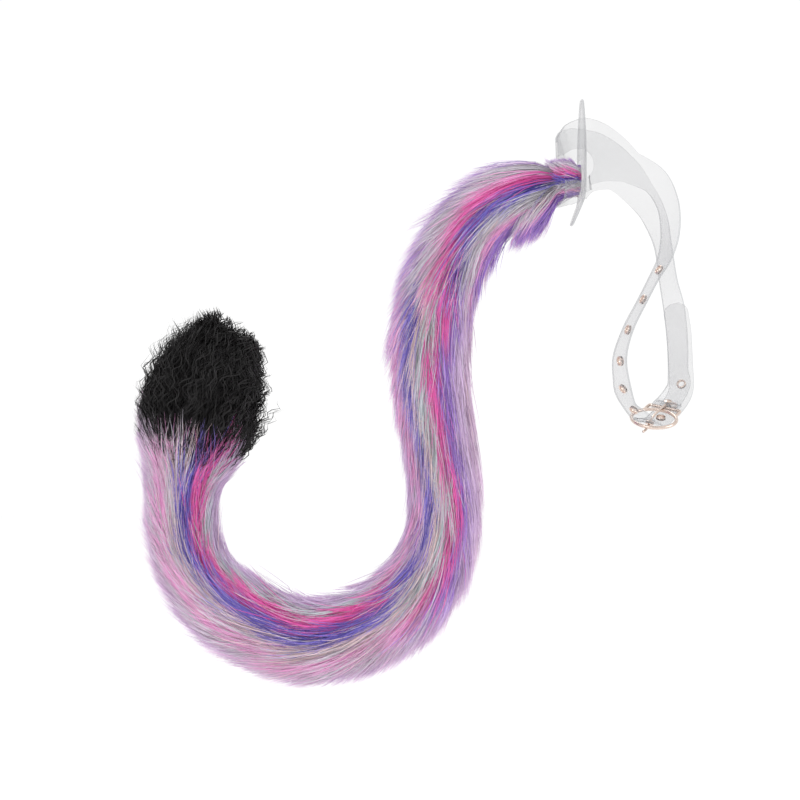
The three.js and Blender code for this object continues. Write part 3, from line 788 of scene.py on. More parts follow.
@dataclass(frozen=True)
class Coat:
    """One stretch of hair: where it is rooted and how it lies."""

    name: str
    root_from: float
    root_to: float
    strands: int
    length: float
    width: float = 0.46 * MM
    per_clump: int = 34
    points: int = 5
    gather: float = 0.62
    ragged: float = 0.06
    wave: float = 0.0
    wave_length: float = 0.014
    seed: int = 1
    turn_from: float = 0.0
    turn_to: float = 2 * math.pi
    droop: float = 0.0
    tip_share: float = 0.95
    tip_limit: float = 1.0
    splay: float = 0.34
    lean: float = 0.6
    lag: float = 1.0
    root_share: tuple[float, float] = (0.5, 0.86)

    def clumps(self, draw: np.random.Generator) -> Clumps:
        """Scatter the clumps.

        Args:
            draw: The source of random numbers.

        Returns:
            The clumps.
        """
        count = max(1, self.strands // self.per_clump)
        return Clumps(
            root=draw.uniform(self.root_from, self.root_to, count),
            turn=draw.uniform(self.turn_from, self.turn_to, count),
            length=self.length * draw.normal(1.0, HABIT.clump_length, count).clip(0.6, 1.45),
            reach=draw.normal(0.0, self.ragged, count),
            phase=draw.uniform(0, 2 * math.pi, count),
        )

    def strand_tints(
        self, black: bool, root: Array, turn: Array, along: Array, draw: np.random.Generator
    ) -> Array:
        """Colour the strands, darker at the root by painted shade, and paler at the tip by a
        lilac dye and a little painted light.

        Args:
            black: Whether the hair is the tuft's.
            root: Where each strand is rooted.
            turn: The angle round the tail.
            along: The shares along a strand.
            draw: The source of random numbers.

        Returns:
            The colour at each point of each strand.
        """
        if black:
            base = np.array(Tint.BLACK.value)
            tint = base[None, :] * draw.uniform(*HABIT.blacks, len(root))[:, None]
        else:
            tint = fur_tints(root, turn, draw)
        # Painted shade: each strand is darkened towards its root and lightened a little at its
        # tip.
        painted_shade = np.interp(along, *zip(*PAINTED_SHADE_ALONG))
        tints = tint[:, None, :] * painted_shade[None, :, None]
        if not black:
            pale = np.interp(along, [0.0, 0.55, 1.0], [0.0, 0.0, HABIT.tip_paleness])
            dye = np.array(Tint.LILAC.value) * HABIT.pale_dye
            tints = tints + (dye - tints) * pale[None, :, None]
        return tints

    def grow(self, black: bool) -> bpy.types.Object:
        """Grow the strands.

        Args:
            black: Whether the hair is the tuft's.

        Returns:
            The new object.
        """
        draw = np.random.default_rng(self.seed)
        clump = self.clumps(draw).each(self.per_clump)
        count = len(clump.root)
        scatter = (HABIT.root_base + HABIT.root_slope * self.length) * HABIT.root_scatter
        root = clump.root + draw.normal(0.0, scatter, count)
        root = np.clip(root, self.root_from, self.root_to)
        turn = clump.turn + draw.normal(0.0, HABIT.turn, count)
        outer = TAIL.outer(root, turn)
        start = draw.uniform(*self.root_share, count) - self.splay * outer.clip(0.0)
        reach = self.tip_share + HABIT.outer_reach * outer + clump.reach
        reach = reach + draw.normal(0.0, HABIT.reach, count)
        flying = draw.random(count) < HABIT.flyaways
        reach = reach + flying * draw.uniform(*HABIT.flyaway_reach, count)
        length = clump.length * draw.normal(1.0, HABIT.strand_length, count).clip(0.7, 1.3)
        length = length * (1.0 - HABIT.outer_short * outer.clip(0.0))

        along = np.linspace(0.0, 1.0, self.points)[None, :]
        pull = self.gather * along**HABIT.pull_power
        place = root[:, None] + length[:, None] * along
        clump_end = clump.root + clump.length
        place = place + (clump_end - root - length)[:, None] * pull * along * HABIT.pull_along
        past = self.tip_limit + HABIT.past_limit * (place - self.tip_limit)
        place = np.minimum(place, past)
        angle = turn[:, None] + (clump.turn - turn)[:, None] * pull
        leaning = self.lean * TAIL.sideways(root, turn)[:, None]
        angle = angle + leaning * along**HABIT.lean_power
        rise = along ** (HABIT.rise_power + HABIT.rise_outer * outer.clip(-0.4, 1.0))[:, None]
        share = start[:, None] + (reach - start)[:, None] * rise
        drawn = (self.tip_share + clump.reach - reach)[:, None]
        share = share + drawn * pull * HABIT.pull_out
        radius = share * TAIL.reach(root[:, None] + (place - root[:, None]) * self.lag)
        if self.wave:
            phase = clump.phase[:, None] + 2 * math.pi * place / self.wave_length
            size = self.wave * (HABIT.wave_root + along)
            own = draw.normal(0.0, HABIT.wave_phase, count)[:, None]
            radius = radius + size * np.sin(phase + own)
            swing = size * np.cos(phase * HABIT.wave_offbeat + own)
            angle = angle + swing / radius.clip(HABIT.wave_core)
        points = TAIL.around(place, angle, radius)
        points[..., 2] -= self.droop * along**HABIT.droop_power

        tints = self.strand_tints(black, root, turn, along[0], draw)
        width = self.width * draw.uniform(*HABIT.widths, count)
        return hair_piece(self.name, points, width, draw.uniform(0, math.pi, count), tints)


@dataclass(frozen=True)
class Core:
    """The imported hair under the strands, a tube along part of the tail."""

    name: str
    start: float
    end: float
    share: float
    step: float = 0.006
    sides: int = 40
    core_painted_shade: float = 0.55
    black_core_painted_shade: float = 0.6
    seed: int = 5

    def build(self, black: bool) -> bpy.types.Object:
        """Build the tube from a circle that is extruded along the tail.

        Args:
            black: Whether it is the tuft's core.

        Returns:
            The new object.
        """
        form = bmesh.new()
        bmesh.ops.create_circle(form, cap_ends=True, radius=0.01, segments=self.sides)
        count = max(2, round((self.end - self.start) / self.step))
        turns = np.linspace(0.0, 2 * math.pi, self.sides, endpoint=False)
        face = form.faces[:][0]
        ring = face.verts[:]
        for i, length in enumerate(np.linspace(self.start, self.end, count + 1)):
            if i > 0:
                face, ring = pushed(form, face, ring)
            lengths = np.full(self.sides, length)
            radius = TAIL.reach(lengths) * self.share
            for vert, point in zip(ring, TAIL.around(lengths, turns, radius)):
                vert.co = Vector(point)
        piece = piece_from(self.name, form)
        self.paint(piece, black)
        return piece

    def paint(self, piece: bpy.types.Object, black: bool) -> None:
        """Colour the tube as the hair over it, darkened as painted shade under the strands.

        Args:
            piece: The tube.
            black: Whether it is the tuft's core.
        """
        spots = np.empty(len(piece.data.vertices) * 3, dtype=np.float32)
        piece.data.vertices.foreach_get("co", spots)
        spots = spots.reshape(-1, 3)
        # The tube is darkened as painted shade, for the shade that the strands over it cast.
        if black:
            tint = np.tile(np.array(Tint.BLACK.value) * self.black_core_painted_shade, (len(spots), 1))
        else:
            apart = spots[:, None, ::2] - TAIL.middle[None, :, ::2]
            near = np.argmin(np.linalg.norm(apart, axis=2), axis=1)
            heading = TAIL.headings[near]
            off = spots - TAIL.middle[near]
            over = off[:, 0] * np.sin(heading) - off[:, 2] * np.cos(heading)
            turn = np.arctan2(off[:, 1], over)
            draw = np.random.default_rng(self.seed)
            tint = fur_tints(near * TAIL.length / TAIL.steps, turn, draw) * self.core_painted_shade
        colours = np.ones((len(spots), 4), dtype=np.float32)
        colours[:, :3] = tint
        layer = piece.data.color_attributes.new("Tint", "FLOAT_COLOR", "POINT")
        layer.data.foreach_set("color", colours.ravel())


@dataclass(frozen=True)
class FurTail:
    """The striped fur from the plate to the tuft."""

    core: Core = Core("fur_core", 0.0, 0.668, 0.62)
    coats: tuple[Coat, ...] = (
        Coat("fur_at_the_plate", 0.001, 0.016, 3000, 0.009, ragged=0.04, seed=2, tip_share=0.84),
        Coat("fur_upper", 0.021, 0.2, 22000, 0.056, ragged=0.09, seed=3),
        Coat("fur_fall", 0.18, 0.37, 22000, 0.062, ragged=0.1, seed=4),
        Coat("fur_sweep", 0.35, 0.53, 22000, 0.056, ragged=0.1, seed=6),
        Coat("fur_rise", 0.5, 0.664, 22000, 0.056, ragged=0.08, seed=7, tip_limit=0.69),
        Coat(
            "fur_wisps_on_tuft", 0.615, 0.664, 3400, 0.056, width=0.42 * MM, per_clump=15,
            seed=9, tip_share=1.03, ragged=0.05, gather=0.85, root_share=(0.6, 0.95),
        ),
        Coat(
            "fur_clump_under_root", 0.012, 0.036, 1800, 0.034, seed=8, ragged=0.12,
            turn_from=math.radians(135), turn_to=math.radians(225), droop=0.014,
        ),
    )

    def build(self) -> None:
        """Build and dress the core and its coats."""
        dress(self.core.build(False), Finish.STRIPED_FUR, "fur_tail")
        for coat in self.coats:
            dress(coat.grow(False), Finish.STRIPED_FUR)


@dataclass(frozen=True)
class Tuft:
    """The curly black tuft at the tip."""

    core: Core = Core("tuft_core", 0.668, 0.772, 0.62)
    coats: tuple[Coat, ...] = (
        Coat(
            "tuft_curls_lower", 0.657, 0.735, 9000, 0.044, width=0.6 * MM, per_clump=12, points=9,
            gather=0.75, ragged=0.07, wave=1.7 * MM, seed=11, tip_share=0.97, lean=0.0,
        ),
        Coat(
            "tuft_curls_upper", 0.72, 0.78, 7600, 0.034, width=0.6 * MM, per_clump=11, points=9,
            gather=0.75, ragged=0.1, wave=1.8 * MM, seed=12, tip_share=0.98, lean=0.0,
            root_share=(0.3, 0.85), tip_limit=0.781, lag=0.94,
        ),
        Coat(
            "tuft_loose_curls", 0.675, 0.785, 1500, 0.042, width=0.95 * MM, per_clump=5,
            points=13, gather=0.85, ragged=0.1, wave=2.5 * MM, wave_length=0.013, seed=13,
            tip_share=1.15,
            root_share=(0.5, 0.85), tip_limit=0.787, lag=0.84, lean=0.0,
        ),
    )

    def build(self) -> None:
        """Build and dress the core and its curls."""
        dress(self.core.build(True), Finish.BLACK_FUR, "tip_tuft")
        for coat in self.coats:
            dress(coat.grow(True), Finish.BLACK_FUR)


# Strips, rods and turned pieces


class Spline:
    """A smooth curve through points."""

    def __init__(self, points: Sequence[Vector], tension: float | None = None) -> None:
        """Keep the points, with one more past each end.

        Args:
            points: The points that the curve goes through.
            tension: The share of an even curve, or None for one spaced by distance.
        """
        first = points[0] * 2 - points[1]
        last = points[-1] * 2 - points[-2]
        self.points = [first, *points, last]
        self.tension = tension

    def at(self, place: float) -> Vector:
        """Return a point of the curve.

        Args:
            place: The place, counted in points from the first.

        Returns:
            The point.
        """
        i = min(max(math.floor(place), 0), len(self.points) - 4)
        share = place - i
        p0, p1, p2, p3 = self.points[i:i + 4]
        if self.tension is None:
            d0, d1, d2 = [
                max((b - a).length, 1e-9) ** 0.5 for a, b in ((p0, p1), (p1, p2), (p2, p3))
            ]
            t1 = ((p1 - p0) / d0 - (p2 - p0) / (d0 + d1) + (p2 - p1) / d1) * d1
            t2 = ((p2 - p1) / d1 - (p3 - p1) / (d1 + d2) + (p3 - p2) / d2) * d1
        else:
            t1, t2 = (p2 - p0) * self.tension, (p3 - p1) * self.tension
        square = (p2 - p1) * 3 - t1 * 2 - t2
        cube = (p1 - p2) * 2 + t1 + t2
        return p1 + t1 * share + square * share**2 + cube * share**3

    def tangent(self, place: float) -> Vector:
        """Return the direction of the curve at a place."""
        return (self.at(place + 1e-3) - self.at(place - 1e-3)).normalized()


@dataclass(frozen=True)
class Row:
    """A place on a strip: its middle, its direction over the strip and its width."""

    at: Vector
    over: Vector
    width: float


@dataclass(frozen=True)
class Section:
    """A cross-section of a strip, with its length along it."""

    at: Vector
    over: Vector
    normal: Vector
    width: float
    length: float
    place: float


def sections(rows: Sequence[Row], step: float) -> list[Section]:
    """Return the cross-sections of a strip.

    Args:
        rows: The strip's rows.
        step: About the distance between two sections.

    Returns:
        The sections, in order.
    """
    route = Spline([row.at for row in rows])
    over_line = Spline([row.over for row in rows], 0.4)
    places = []
    for i, (row, after) in enumerate(zip(rows, rows[1:])):
        steps = max(1, math.floor((row.at - after.at).length / step + 0.5))
        places += [i + s / steps for s in range(steps)]
    places.append(float(len(rows) - 1))
    made: list[Section] = []
    length = 0.0
    for place in places:
        i = min(math.floor(place), len(rows) - 2)
        at, ahead, over = route.at(place), route.tangent(place), over_line.at(place)
        over = (over - ahead * over.dot(ahead)).normalized()
        width = rows[i].width + (rows[i + 1].width - rows[i].width) * (place - i)
        if made:
            length += (at - made[-1].at).length
        made.append(Section(at, over, ahead.cross(over), width, length, place))
    return made


def mark_painted_edge_shade(piece: bpy.types.Object, parts: Sequence[Section]) -> None:
    """Give the narrow faces along a strip and in its openings a more opaque grey finish, painted
    shade for the dark lines that refraction gives clear edges.

    Args:
        piece: The dressed strip.
        parts: The strip's cross-sections.
    """
    piece.data.materials.append(MATERIALS[Finish.CLEAR_EDGE])
    middles = np.array([part.at for part in parts])
    normals = np.array([part.normal for part in parts])
    for face in piece.data.polygons:
        near = np.argmin(np.linalg.norm(middles - np.array(face.center), axis=1))
        # Narrow faces get the painted edge shade.
        if abs(float(np.dot(normals[near], np.array(face.normal)))) < 0.6:
            face.material_index = 1


def strip_form(parts: Sequence[Section], thick: float) -> bmesh.types.BMesh:
    """Build a flat strip by extruding its first cross-section through the others.

    Args:
        parts: The cross-sections.
        thick: The strip's thickness.

    Returns:
        The strip.
    """
    form = bmesh.new()
    corners = ((0.5, 0.5), (-0.5, 0.5), (-0.5, -0.5), (0.5, -0.5))
    ring = [form.verts.new((u, v, 0.0)) for u, v in corners]
    face = form.faces.new(ring)
    for i, part in enumerate(parts):
        if i > 0:
            face, ring = pushed(form, face, ring)
        for vert, (u, v) in zip(ring, corners):
            vert.co = part.at + part.over * (u * part.width) + part.normal * (v * thick)
    bmesh.ops.recalc_face_normals(form, faces=form.faces[:])
    sharp = [edge for edge in form.edges if edge.calc_face_angle(0.0) > math.radians(50)]
    bmesh.ops.bevel(
        form, geom=sharp, offset=0.3 * MM, offset_type="OFFSET", segments=2, profile=0.5,
        affect="EDGES", material=-1, clamp_overlap=True,
    )
    return form


def rod_form(
    points: Sequence[Vector], radius: float, sides: int = 16, step: int = 6
) -> bmesh.types.BMesh:
    """Build a round rod along a curve through points.

    Args:
        points: The curve's points.
        radius: The rod's radius.
        sides: The number of sides.
        step: The sections between two points.

    Returns:
        The rod.
    """
    curve = Spline(points)
    form = bmesh.new()
    bmesh.ops.create_circle(form, cap_ends=True, radius=radius, segments=sides)
    face = form.faces[:][0]
    ring = face.verts[:]
    angles = [2 * math.pi * k / sides for k in range(sides)]
    aside = curve.tangent(0.0).orthogonal().normalized()
    total = (len(points) - 1) * step
    for i in range(total + 1):
        if i > 0:
            face, ring = pushed(form, face, ring)
        ahead = curve.tangent(i / step)
        aside = (aside - ahead * aside.dot(ahead)).normalized()
        up = ahead.cross(aside)
        for vert, angle in zip(ring, angles):
            out = aside * math.cos(angle) + up * math.sin(angle)
            vert.co = curve.at(i / step) + out * radius
    return form


def turned_form(
    profile: Sequence[tuple[float, float]], place: Matrix, sides: int = 40
) -> bmesh.types.BMesh:
    """Build a turned piece by spinning a profile of radius and height.

    Args:
        profile: The profile's points, in order, closed by its first.
        place: The piece's place; its own Z is the axis.
        sides: The steps of the spin.

    Returns:
        The piece.
    """
    form = bmesh.new()
    verts = [form.verts.new((radius / MM, 0.0, height / MM)) for radius, height in profile]
    pairs = zip(verts, verts[1:] + verts[:1])
    edges = [form.edges.new((a, b)) for a, b in pairs if max(a.co.x, b.co.x) > 0.0]
    bmesh.ops.spin(
        form, geom=verts + edges, cent=(0, 0, 0), axis=(0, 0, 1), angle=2 * math.pi,
        steps=sides, use_merge=True, use_duplicate=False,
    )
    bmesh.ops.remove_doubles(form, verts=form.verts[:], dist=1e-4)
    bmesh.ops.transform(form, matrix=place @ Matrix.Scale(MM, 4), verts=form.verts[:])
    return form


def standing(at: Vector, axis: Vector, toward: Vector) -> Matrix:
    """Return a place that stands on a point.

    Args:
        at: The point.
        axis: The direction of the place's Z.
        toward: A direction that the place's X leans toward.

    Returns:
        The place.
    """
    up = axis.normalized()
    x = (toward - up * toward.dot(up)).normalized()
    y = up.cross(x)
    return Matrix.Translation(at) @ Matrix((x, y, up)).transposed().to_4x4()


def cut(piece: bpy.types.Object, cutters: Sequence[bmesh.types.BMesh]) -> None:
    """Cut forms out of a piece.

    Args:
        piece: The piece, which gets the cut mesh.
        cutters: The closed forms, which are freed.
    """
    for i, form in enumerate(cutters):
        cutter = piece_from(f"cutter_{i}", form)
        change = piece.modifiers.new("cut", "BOOLEAN")
        change.operation = "DIFFERENCE"
        change.solver = "MANIFOLD"
        change.object = cutter
        depsgraph = bpy.context.evaluated_depsgraph_get()
        mesh = bpy.data.meshes.new_from_object(piece.evaluated_get(depsgraph))
        piece.modifiers.clear()
        piece.data = mesh
        mesh.name = piece.name
        spent = cutter.data
        bpy.data.objects.remove(cutter)
        bpy.data.meshes.remove(spent)


# The clear plate


@dataclass(frozen=True)
class SupportPlate:
    """The clear plate that stands on the wearer's back, its lower end turned away."""

    height: float = 0.097
    width: float = 0.050
    thick: float = 0.002
    tuck: float = 0.008
    rows: tuple[tuple[float, float, float], ...] = (
        (0.5, 0.16, 0), (0.485, 0.28, 0), (0.44, 0.42, 0), (0.36, 0.6, 0), (0.26, 0.8, 0),
        (0.14, 0.96, 0), (0.02, 1.0, 0), (-0.1, 1.0, 0), (-0.18, 0.95, 0), (-0.25, 0.88, 0),
        (-0.32, 0.78, 0.14), (-0.39, 0.66, 0.46), (-0.46, 0.46, 0.8), (-0.49, 0.3, 0.95),
        (-0.5, 0.16, 1),
    )

    def build(self) -> None:
        """Build and dress the plate."""
        rows = [
            Row(
                Vector((-self.thick / 2 - tuck * self.tuck, 0, up * self.height)),
                Vector((0, 1, 0)), wide * self.width,
            )
            for up, wide, tuck in self.rows
        ]
        parts = sections(rows, 2.5 * MM)
        piece = piece_from("clear_plate", strip_form(parts, self.thick))
        sharpen(piece)
        dress(piece, Finish.CLEAR, "support_plate")
        mark_painted_edge_shade(piece, parts)


# The belt, its eyelets and its buckle


@dataclass(frozen=True)
class BeltRow:
    """One row of the belt's route, as shares of the belt's named sizes."""

    out: float
    side: float
    bow: float
    up: float
    wide: float
    across: tuple[float, float, float]


@dataclass(frozen=True)
class WaistBelt:
    """The clear belt with its rose-gold eyelets, buckle, prong and rivet."""

    thick: float = 0.0016
    strap_width: float = 0.020
    saddle_height: float = 0.057
    saddle_out: float = 0.020
    saddle_half: float = 0.031
    loop_reach: float = 0.1
    loop_drop: float = 0.198
    loop_bulge: float = 0.029
    buckle_out: float = 0.55
    hole_radius: float = 0.0125
    hole_out: float = 0.008
    hole_drop: float = 0.0055
    channel_width: float = 0.036
    channel_half: float = 0.0181
    coarse_step: float = 0.009
    fine_step: float = 0.0024
    pitch: float = 0.025
    eyelet_radius: float = 0.0038
    eyelet_bore: float = 0.0024
    eyelet_barrel: float = 0.003
    eyelet_lip: float = 0.0005
    eyelets_on_arm: int = 6
    eyelets_past_prong: int = 3
    ring_radius: float = 0.0173
    ring_wire: float = 0.0014
    ring_tilt: float = 24.0
    buckle_turn: float = 60.0
    bar_wire: float = 0.0013
    prong_wire: float = 0.00095
    fold_slack: float = 0.001
    rivet_head: float = 0.003
    rivet_shank: float = 0.0014
    rivet_lip: float = 0.0007
    fold_start: float = -60.0
    fold_sweep: float = 210.0
    fold_steps: int = 7
    end_margin: float = 0.001
    opening_depth: float = 0.12
    slot_corner: float = 0.006
    eyelet_seat: float = 0.02 * MM
    eyelet_lip_share: float = 0.8
    eyelet_round: float = 0.3 * MM
    eyelet_dome: float = 0.15 * MM
    arm_far: tuple[BeltRow, ...] = (
        BeltRow(0.805, 1, 0.25, -0.87, 1, (0.7, -0.65, -0.15)),
        BeltRow(0.815, 1, 0.5, -0.82, 1, (0.6, -0.78, 0)),
        BeltRow(0.824, 1, 0.76, -0.7, 1, (0.67, -0.74, 0)),
        BeltRow(0.806, 1, 0.97, -0.555, 1, (0.7, -0.7, 0.1)),
        BeltRow(0.76, 1, 1, -0.438, 1, (0.55, -0.83, 0.12)),
        BeltRow(0.708, 1, 0.86, -0.293, 1, (0.5, -0.85, 0.16)),
        BeltRow(0.62, 1, 0.66, -0.17, 1.06, (0.75, -0.5, 0.35)),
        BeltRow(0.5, 1, 0.44, -0.09, 1.25, (0.68, -0.25, 0.62)),
    )
    saddle: tuple[BeltRow, ...] = (
        BeltRow(0.335, 1, 0.24, -0.01, 0.56, (0.5, -0.1, 0.82)),
        BeltRow(0.14, 1, 0.07, 0.024, 0.83, (0.12, -0.04, 1)),
        BeltRow(0.0, 1, 0, 0.02, 1, (0, 0, 1)),
        BeltRow(-0.6, 0.72, 0, -0.01, 1, (0, 0, 1)),
        BeltRow(-1.0, 0, 0, -0.045, 0.87, (0, 0, 1)),
        BeltRow(-0.6, -0.72, 0, -0.012, 0.98, (0, 0, 1)),
        BeltRow(0.0, -1, 0, 0.012, 0.96, (0, 0, 1)),
        BeltRow(0.14, -1, -0.07, 0, 0.72, (0.15, -0.08, 0.98)),
    )
    arm_near: tuple[BeltRow, ...] = (
        BeltRow(0.315, -1, -0.24, -0.045, 1.2, (0.55, -0.3, 0.77)),
        BeltRow(0.49, -1, -0.38, -0.098, 1.05, (0.63, -0.5, 0.56)),
        BeltRow(0.575, -1, -0.52, -0.18, 1, (0.62, -0.7, 0.35)),
        BeltRow(0.593, -1, -0.66, -0.258, 1, (0.58, -0.76, 0.25)),
        BeltRow(0.581, -1, -0.78, -0.33, 1, (0.48, -0.87, 0)),
        BeltRow(0.535, -1, -0.9, -0.405, 1, (0.3, -0.94, -0.14)),
        BeltRow(0.457, -1, -0.97, -0.474, 1, (0.2, -0.98, -0.09)),
        BeltRow(0.372, -1, -1, -0.556, 1, (0.18, -0.98, -0.09)),
        BeltRow(0.267, -1, -0.9, -0.666, 1, (0.22, -0.97, -0.07)),
        BeltRow(0.22, -1, -0.65, -0.771, 1, (0.32, -0.94, 0)),
        BeltRow(0.25, -0.9, -0.4, -0.868, 1, (0.48, -0.85, -0.2)),
        BeltRow(0.315, -0.75, 0, -0.94, 1, (0.6, -0.7, -0.3)),
    )
    free_end: tuple[BeltRow, ...] = (
        BeltRow(0.835, 1, 0.48, -0.893, 1, (0.85, -0.5, -0.15)),
        BeltRow(0.85, 1, 0.82, -0.77, 1, (0.88, -0.46, 0)),
        BeltRow(0.85, 1, 1.06, -0.65, 1, (0.9, -0.44, 0)),
        BeltRow(0.83, 1, 1.16, -0.565, 1, (0.9, -0.44, 0)),
        BeltRow(0.824, 1, 1.18, -0.542, 0.78, (0.9, -0.44, 0)),
        BeltRow(0.82, 1, 1.185, -0.53, 0.34, (0.9, -0.44, 0)),
    )

    @property
    def buckle_at(self) -> Vector:
        """Return the middle of the ring."""
        return Vector((self.buckle_out * self.loop_reach, 0, -self.loop_drop))

    @cached_property
    def buckle_axes(self) -> tuple[Vector, Vector, Vector]:
        """Work out the buckle's frame.

        Returns:
            The strap's way through the ring, the ring's axis and the way over.
        """
        tilt, turn = math.radians(self.ring_tilt), math.radians(self.buckle_turn)
        plane = Vector((0, math.cos(tilt), math.sin(tilt)))
        axis = Vector((0, -math.sin(tilt), math.cos(tilt)))
        ahead = Vector((math.cos(turn), 0, 0)) + plane * math.sin(turn)
        over = Vector((math.sin(turn), 0, 0)) - plane * math.cos(turn)
        return ahead, axis, over

    def in_buckle(self, ahead: float, rise: float, over: float = 0.0) -> Vector:
        """Return a point in the buckle's frame."""
        u, v, w = self.buckle_axes
        return self.buckle_at + u * ahead + v * rise + w * over

    @property
    def bar_at(self) -> float:
        """Return the bar's distance from the ring's middle."""
        return (
            self.ring_radius + self.ring_wire + self.fold_slack + self.thick + GAP + self.bar_wire
        )

    @property
    def fold_radius(self) -> float:
        """Return the radius of the strap's middle round the bar."""
        return self.bar_wire + GAP + self.thick / 2

    @property
    def layer_step(self) -> float:
        """Return the distance between the fold's two layers."""
        return self.thick + 2 * GAP

    @property
    def rivet_at(self) -> float:
        """Return the rivet's distance from the ring's middle."""
        return self.bar_at + self.fold_radius + self.rivet_head + 3 * GAP

    @property
    def eye_at(self) -> float:
        """Return the prong's eyelet, along the strap from the ring's middle."""
        return -self.ring_radius / 2

    def table_row(self, row: BeltRow, unit: float) -> Row:
        """Return a row of the route in metres.

        Args:
            row: The row, in shares.
            unit: The width that its own width is a share of.

        Returns:
            The row of the strip.
        """
        at = Vector((
            row.out * (self.saddle_out if row.out < 0 else self.loop_reach),
            row.side * self.saddle_half + row.bow * self.loop_bulge,
            row.up * self.loop_drop,
        ))
        return Row(at, Vector(row.across).normalized(), row.wide * unit)

    def buckle_row(self, ahead: float, rise: float) -> Row:
        """Return a row of the strap in the buckle's frame."""
        return Row(self.in_buckle(ahead, rise), self.buckle_axes[2].copy(), self.strap_width)

    @property
    def fold_end(self) -> float:
        """Return the distance of the fold's end from the ring's middle."""
        return self.rivet_at + self.rivet_head + self.end_margin

    def fold_rows(self) -> list[Row]:
        """Fold the strap's end round the bar.

        Returns:
            The rows from the strap's end to where both layers part.
        """
        low, high = self.fold_radius - self.layer_step, self.fold_radius
        neck = self.rivet_at - self.rivet_head
        way = [(self.fold_end, low), (self.rivet_at, low), (neck, low - GAP)]
        for i in range(self.fold_steps + 1):
            angle = math.radians(self.fold_start - self.fold_sweep * i / self.fold_steps)
            out, up = math.cos(angle) * self.fold_radius, math.sin(angle) * self.fold_radius
            way.append((self.bar_at + out, up))
        way += [(neck, high), (self.rivet_at, high), (self.fold_end, high)]
        return [self.buckle_row(ahead, rise) for ahead, rise in way]

    def pass_rows(self) -> list[Row]:
        """Lead the strap over the ring's far side, through it and under the fold.

        Returns:
            The rows of the strap's way.
        """
        over = self.ring_wire + GAP + self.thick / 2
        reach = self.thick / 2 + GAP + self.eyelet_lip
        below = -(self.fold_radius + self.thick / 2 + reach + 2 * GAP)
        way = (
            (-self.ring_radius - 2 * MM, over + 3.4 * MM),
            (-self.ring_radius + 3 * MM, over + 1.1 * MM),
            (self.eye_at, -0.4 * MM),
            (self.eye_at + 7 * MM, below + 1 * MM),
            (self.ring_radius / 2, below),
            (self.bar_at, below),
            (self.fold_end, below - 0.6 * MM),
        )
        return [self.buckle_row(ahead, rise) for ahead, rise in way]

    @cached_property
    def rows(self) -> list[Row]:
        """Join the belt's stretches.

        Returns:
            The whole belt's rows, from the fold to the free end.
        """
        fold = self.fold_rows()
        far = [self.table_row(row, self.strap_width) for row in self.arm_far]
        middle = [self.table_row(row, self.saddle_height) for row in self.saddle]
        near = [self.table_row(row, self.strap_width) for row in self.arm_near]
        free = [self.table_row(row, self.strap_width) for row in self.free_end]
        return [*fold, *far, *middle, *near, *self.pass_rows(), *free]

    def eyelet_places(self) -> list[Matrix]:
        """Space the eyelets along the strap, both ways from the prong's.

        Returns:
            The eyelets' places.
        """
        parts = sections(self.rows, self.coarse_step)
        prong_row = len(self.fold_rows()) + len(self.arm_far) + len(self.saddle)
        prong_row += len(self.arm_near) + 2
        prong_length = next(part.length for part in parts if part.place >= prong_row)
        lengths = np.array([part.length for part in parts])
        places = []
        for k in range(-self.eyelets_past_prong, self.eyelets_on_arm + 1):
            length = prong_length - k * self.pitch
            i = min(int(np.searchsorted(lengths, length)) - 1, len(parts) - 2)
            a, b = parts[i], parts[i + 1]
            share = (length - a.length) / (b.length - a.length)
            normal, over = a.normal.lerp(b.normal, share), a.over.lerp(b.over, share)
            places.append(standing(a.at.lerp(b.at, share), normal, over))
        return places

    def prong_points(self) -> list[Vector]:
        """Lead the prong round the bar, through the eyelet and under the rim.

        Returns:
            The points of the prong's way.
        """
        hook = self.bar_wire + GAP + self.prong_wire
        under = -(self.ring_wire + GAP + self.prong_wire)
        way = []
        for angle in range(-150, 61, 30):
            a = math.radians(angle)
            way.append((self.bar_at + math.cos(a) * hook, math.sin(a) * hook))
        way += [
            (self.bar_at - hook, hook * 1.02),
            (self.eye_at + 9 * MM, 2.9 * MM),
            (self.eye_at + 3.2 * MM, 1.5 * MM),
            (self.eye_at, -0.4 * MM),
            (self.eye_at - 3.2 * MM, -2.3 * MM),
            (-self.ring_radius + 1 * MM, under - 0.5 * MM),
            (-self.ring_radius - 4 * MM, under),
        ]
        return [self.in_buckle(ahead, rise) for ahead, rise in way]

    def rivet_place(self) -> Matrix:
        """Return the place of the rivet through the fold."""
        ahead, axis, _ = self.buckle_axes
        return standing(self.in_buckle(self.rivet_at, 0.0), axis, ahead)

    def root_cutters(self) -> list[bmesh.types.BMesh]:
        """Form the openings for the tail's root.

        Returns:
            The round opening through both sides and the slot at the outer end.
        """
        root = Matrix.Translation((-self.hole_out, 0, -self.hole_drop))
        hole = bmesh.new()
        bmesh.ops.create_cone(
            hole, cap_ends=True, segments=72, radius1=self.hole_radius, radius2=self.hole_radius,
            depth=self.opening_depth, matrix=root @ Matrix.Rotation(math.pi / 2, 4, "X"),
        )
        neck = self.saddle_out / TAIL.length
        neck_z = float(np.interp(neck, TAIL.shares, TAIL.middle[:, 2]))
        size = Matrix.Diagonal((self.saddle_out, self.channel_width, 2 * self.channel_half, 1))
        place = Matrix.Translation((-self.saddle_out, 0, neck_z))
        slot = bmesh.new()
        bmesh.ops.create_cube(slot, size=1.0, matrix=place @ size)
        long_edges = [
            edge for edge in slot.edges
            if abs(edge.verts[0].co.x - edge.verts[1].co.x) > self.saddle_out / 2
        ]
        bmesh.ops.bevel(
            slot, geom=long_edges, offset=self.slot_corner, offset_type="OFFSET", segments=6,
            profile=0.5, affect="EDGES", material=-1,
        )
        return [hole, slot]

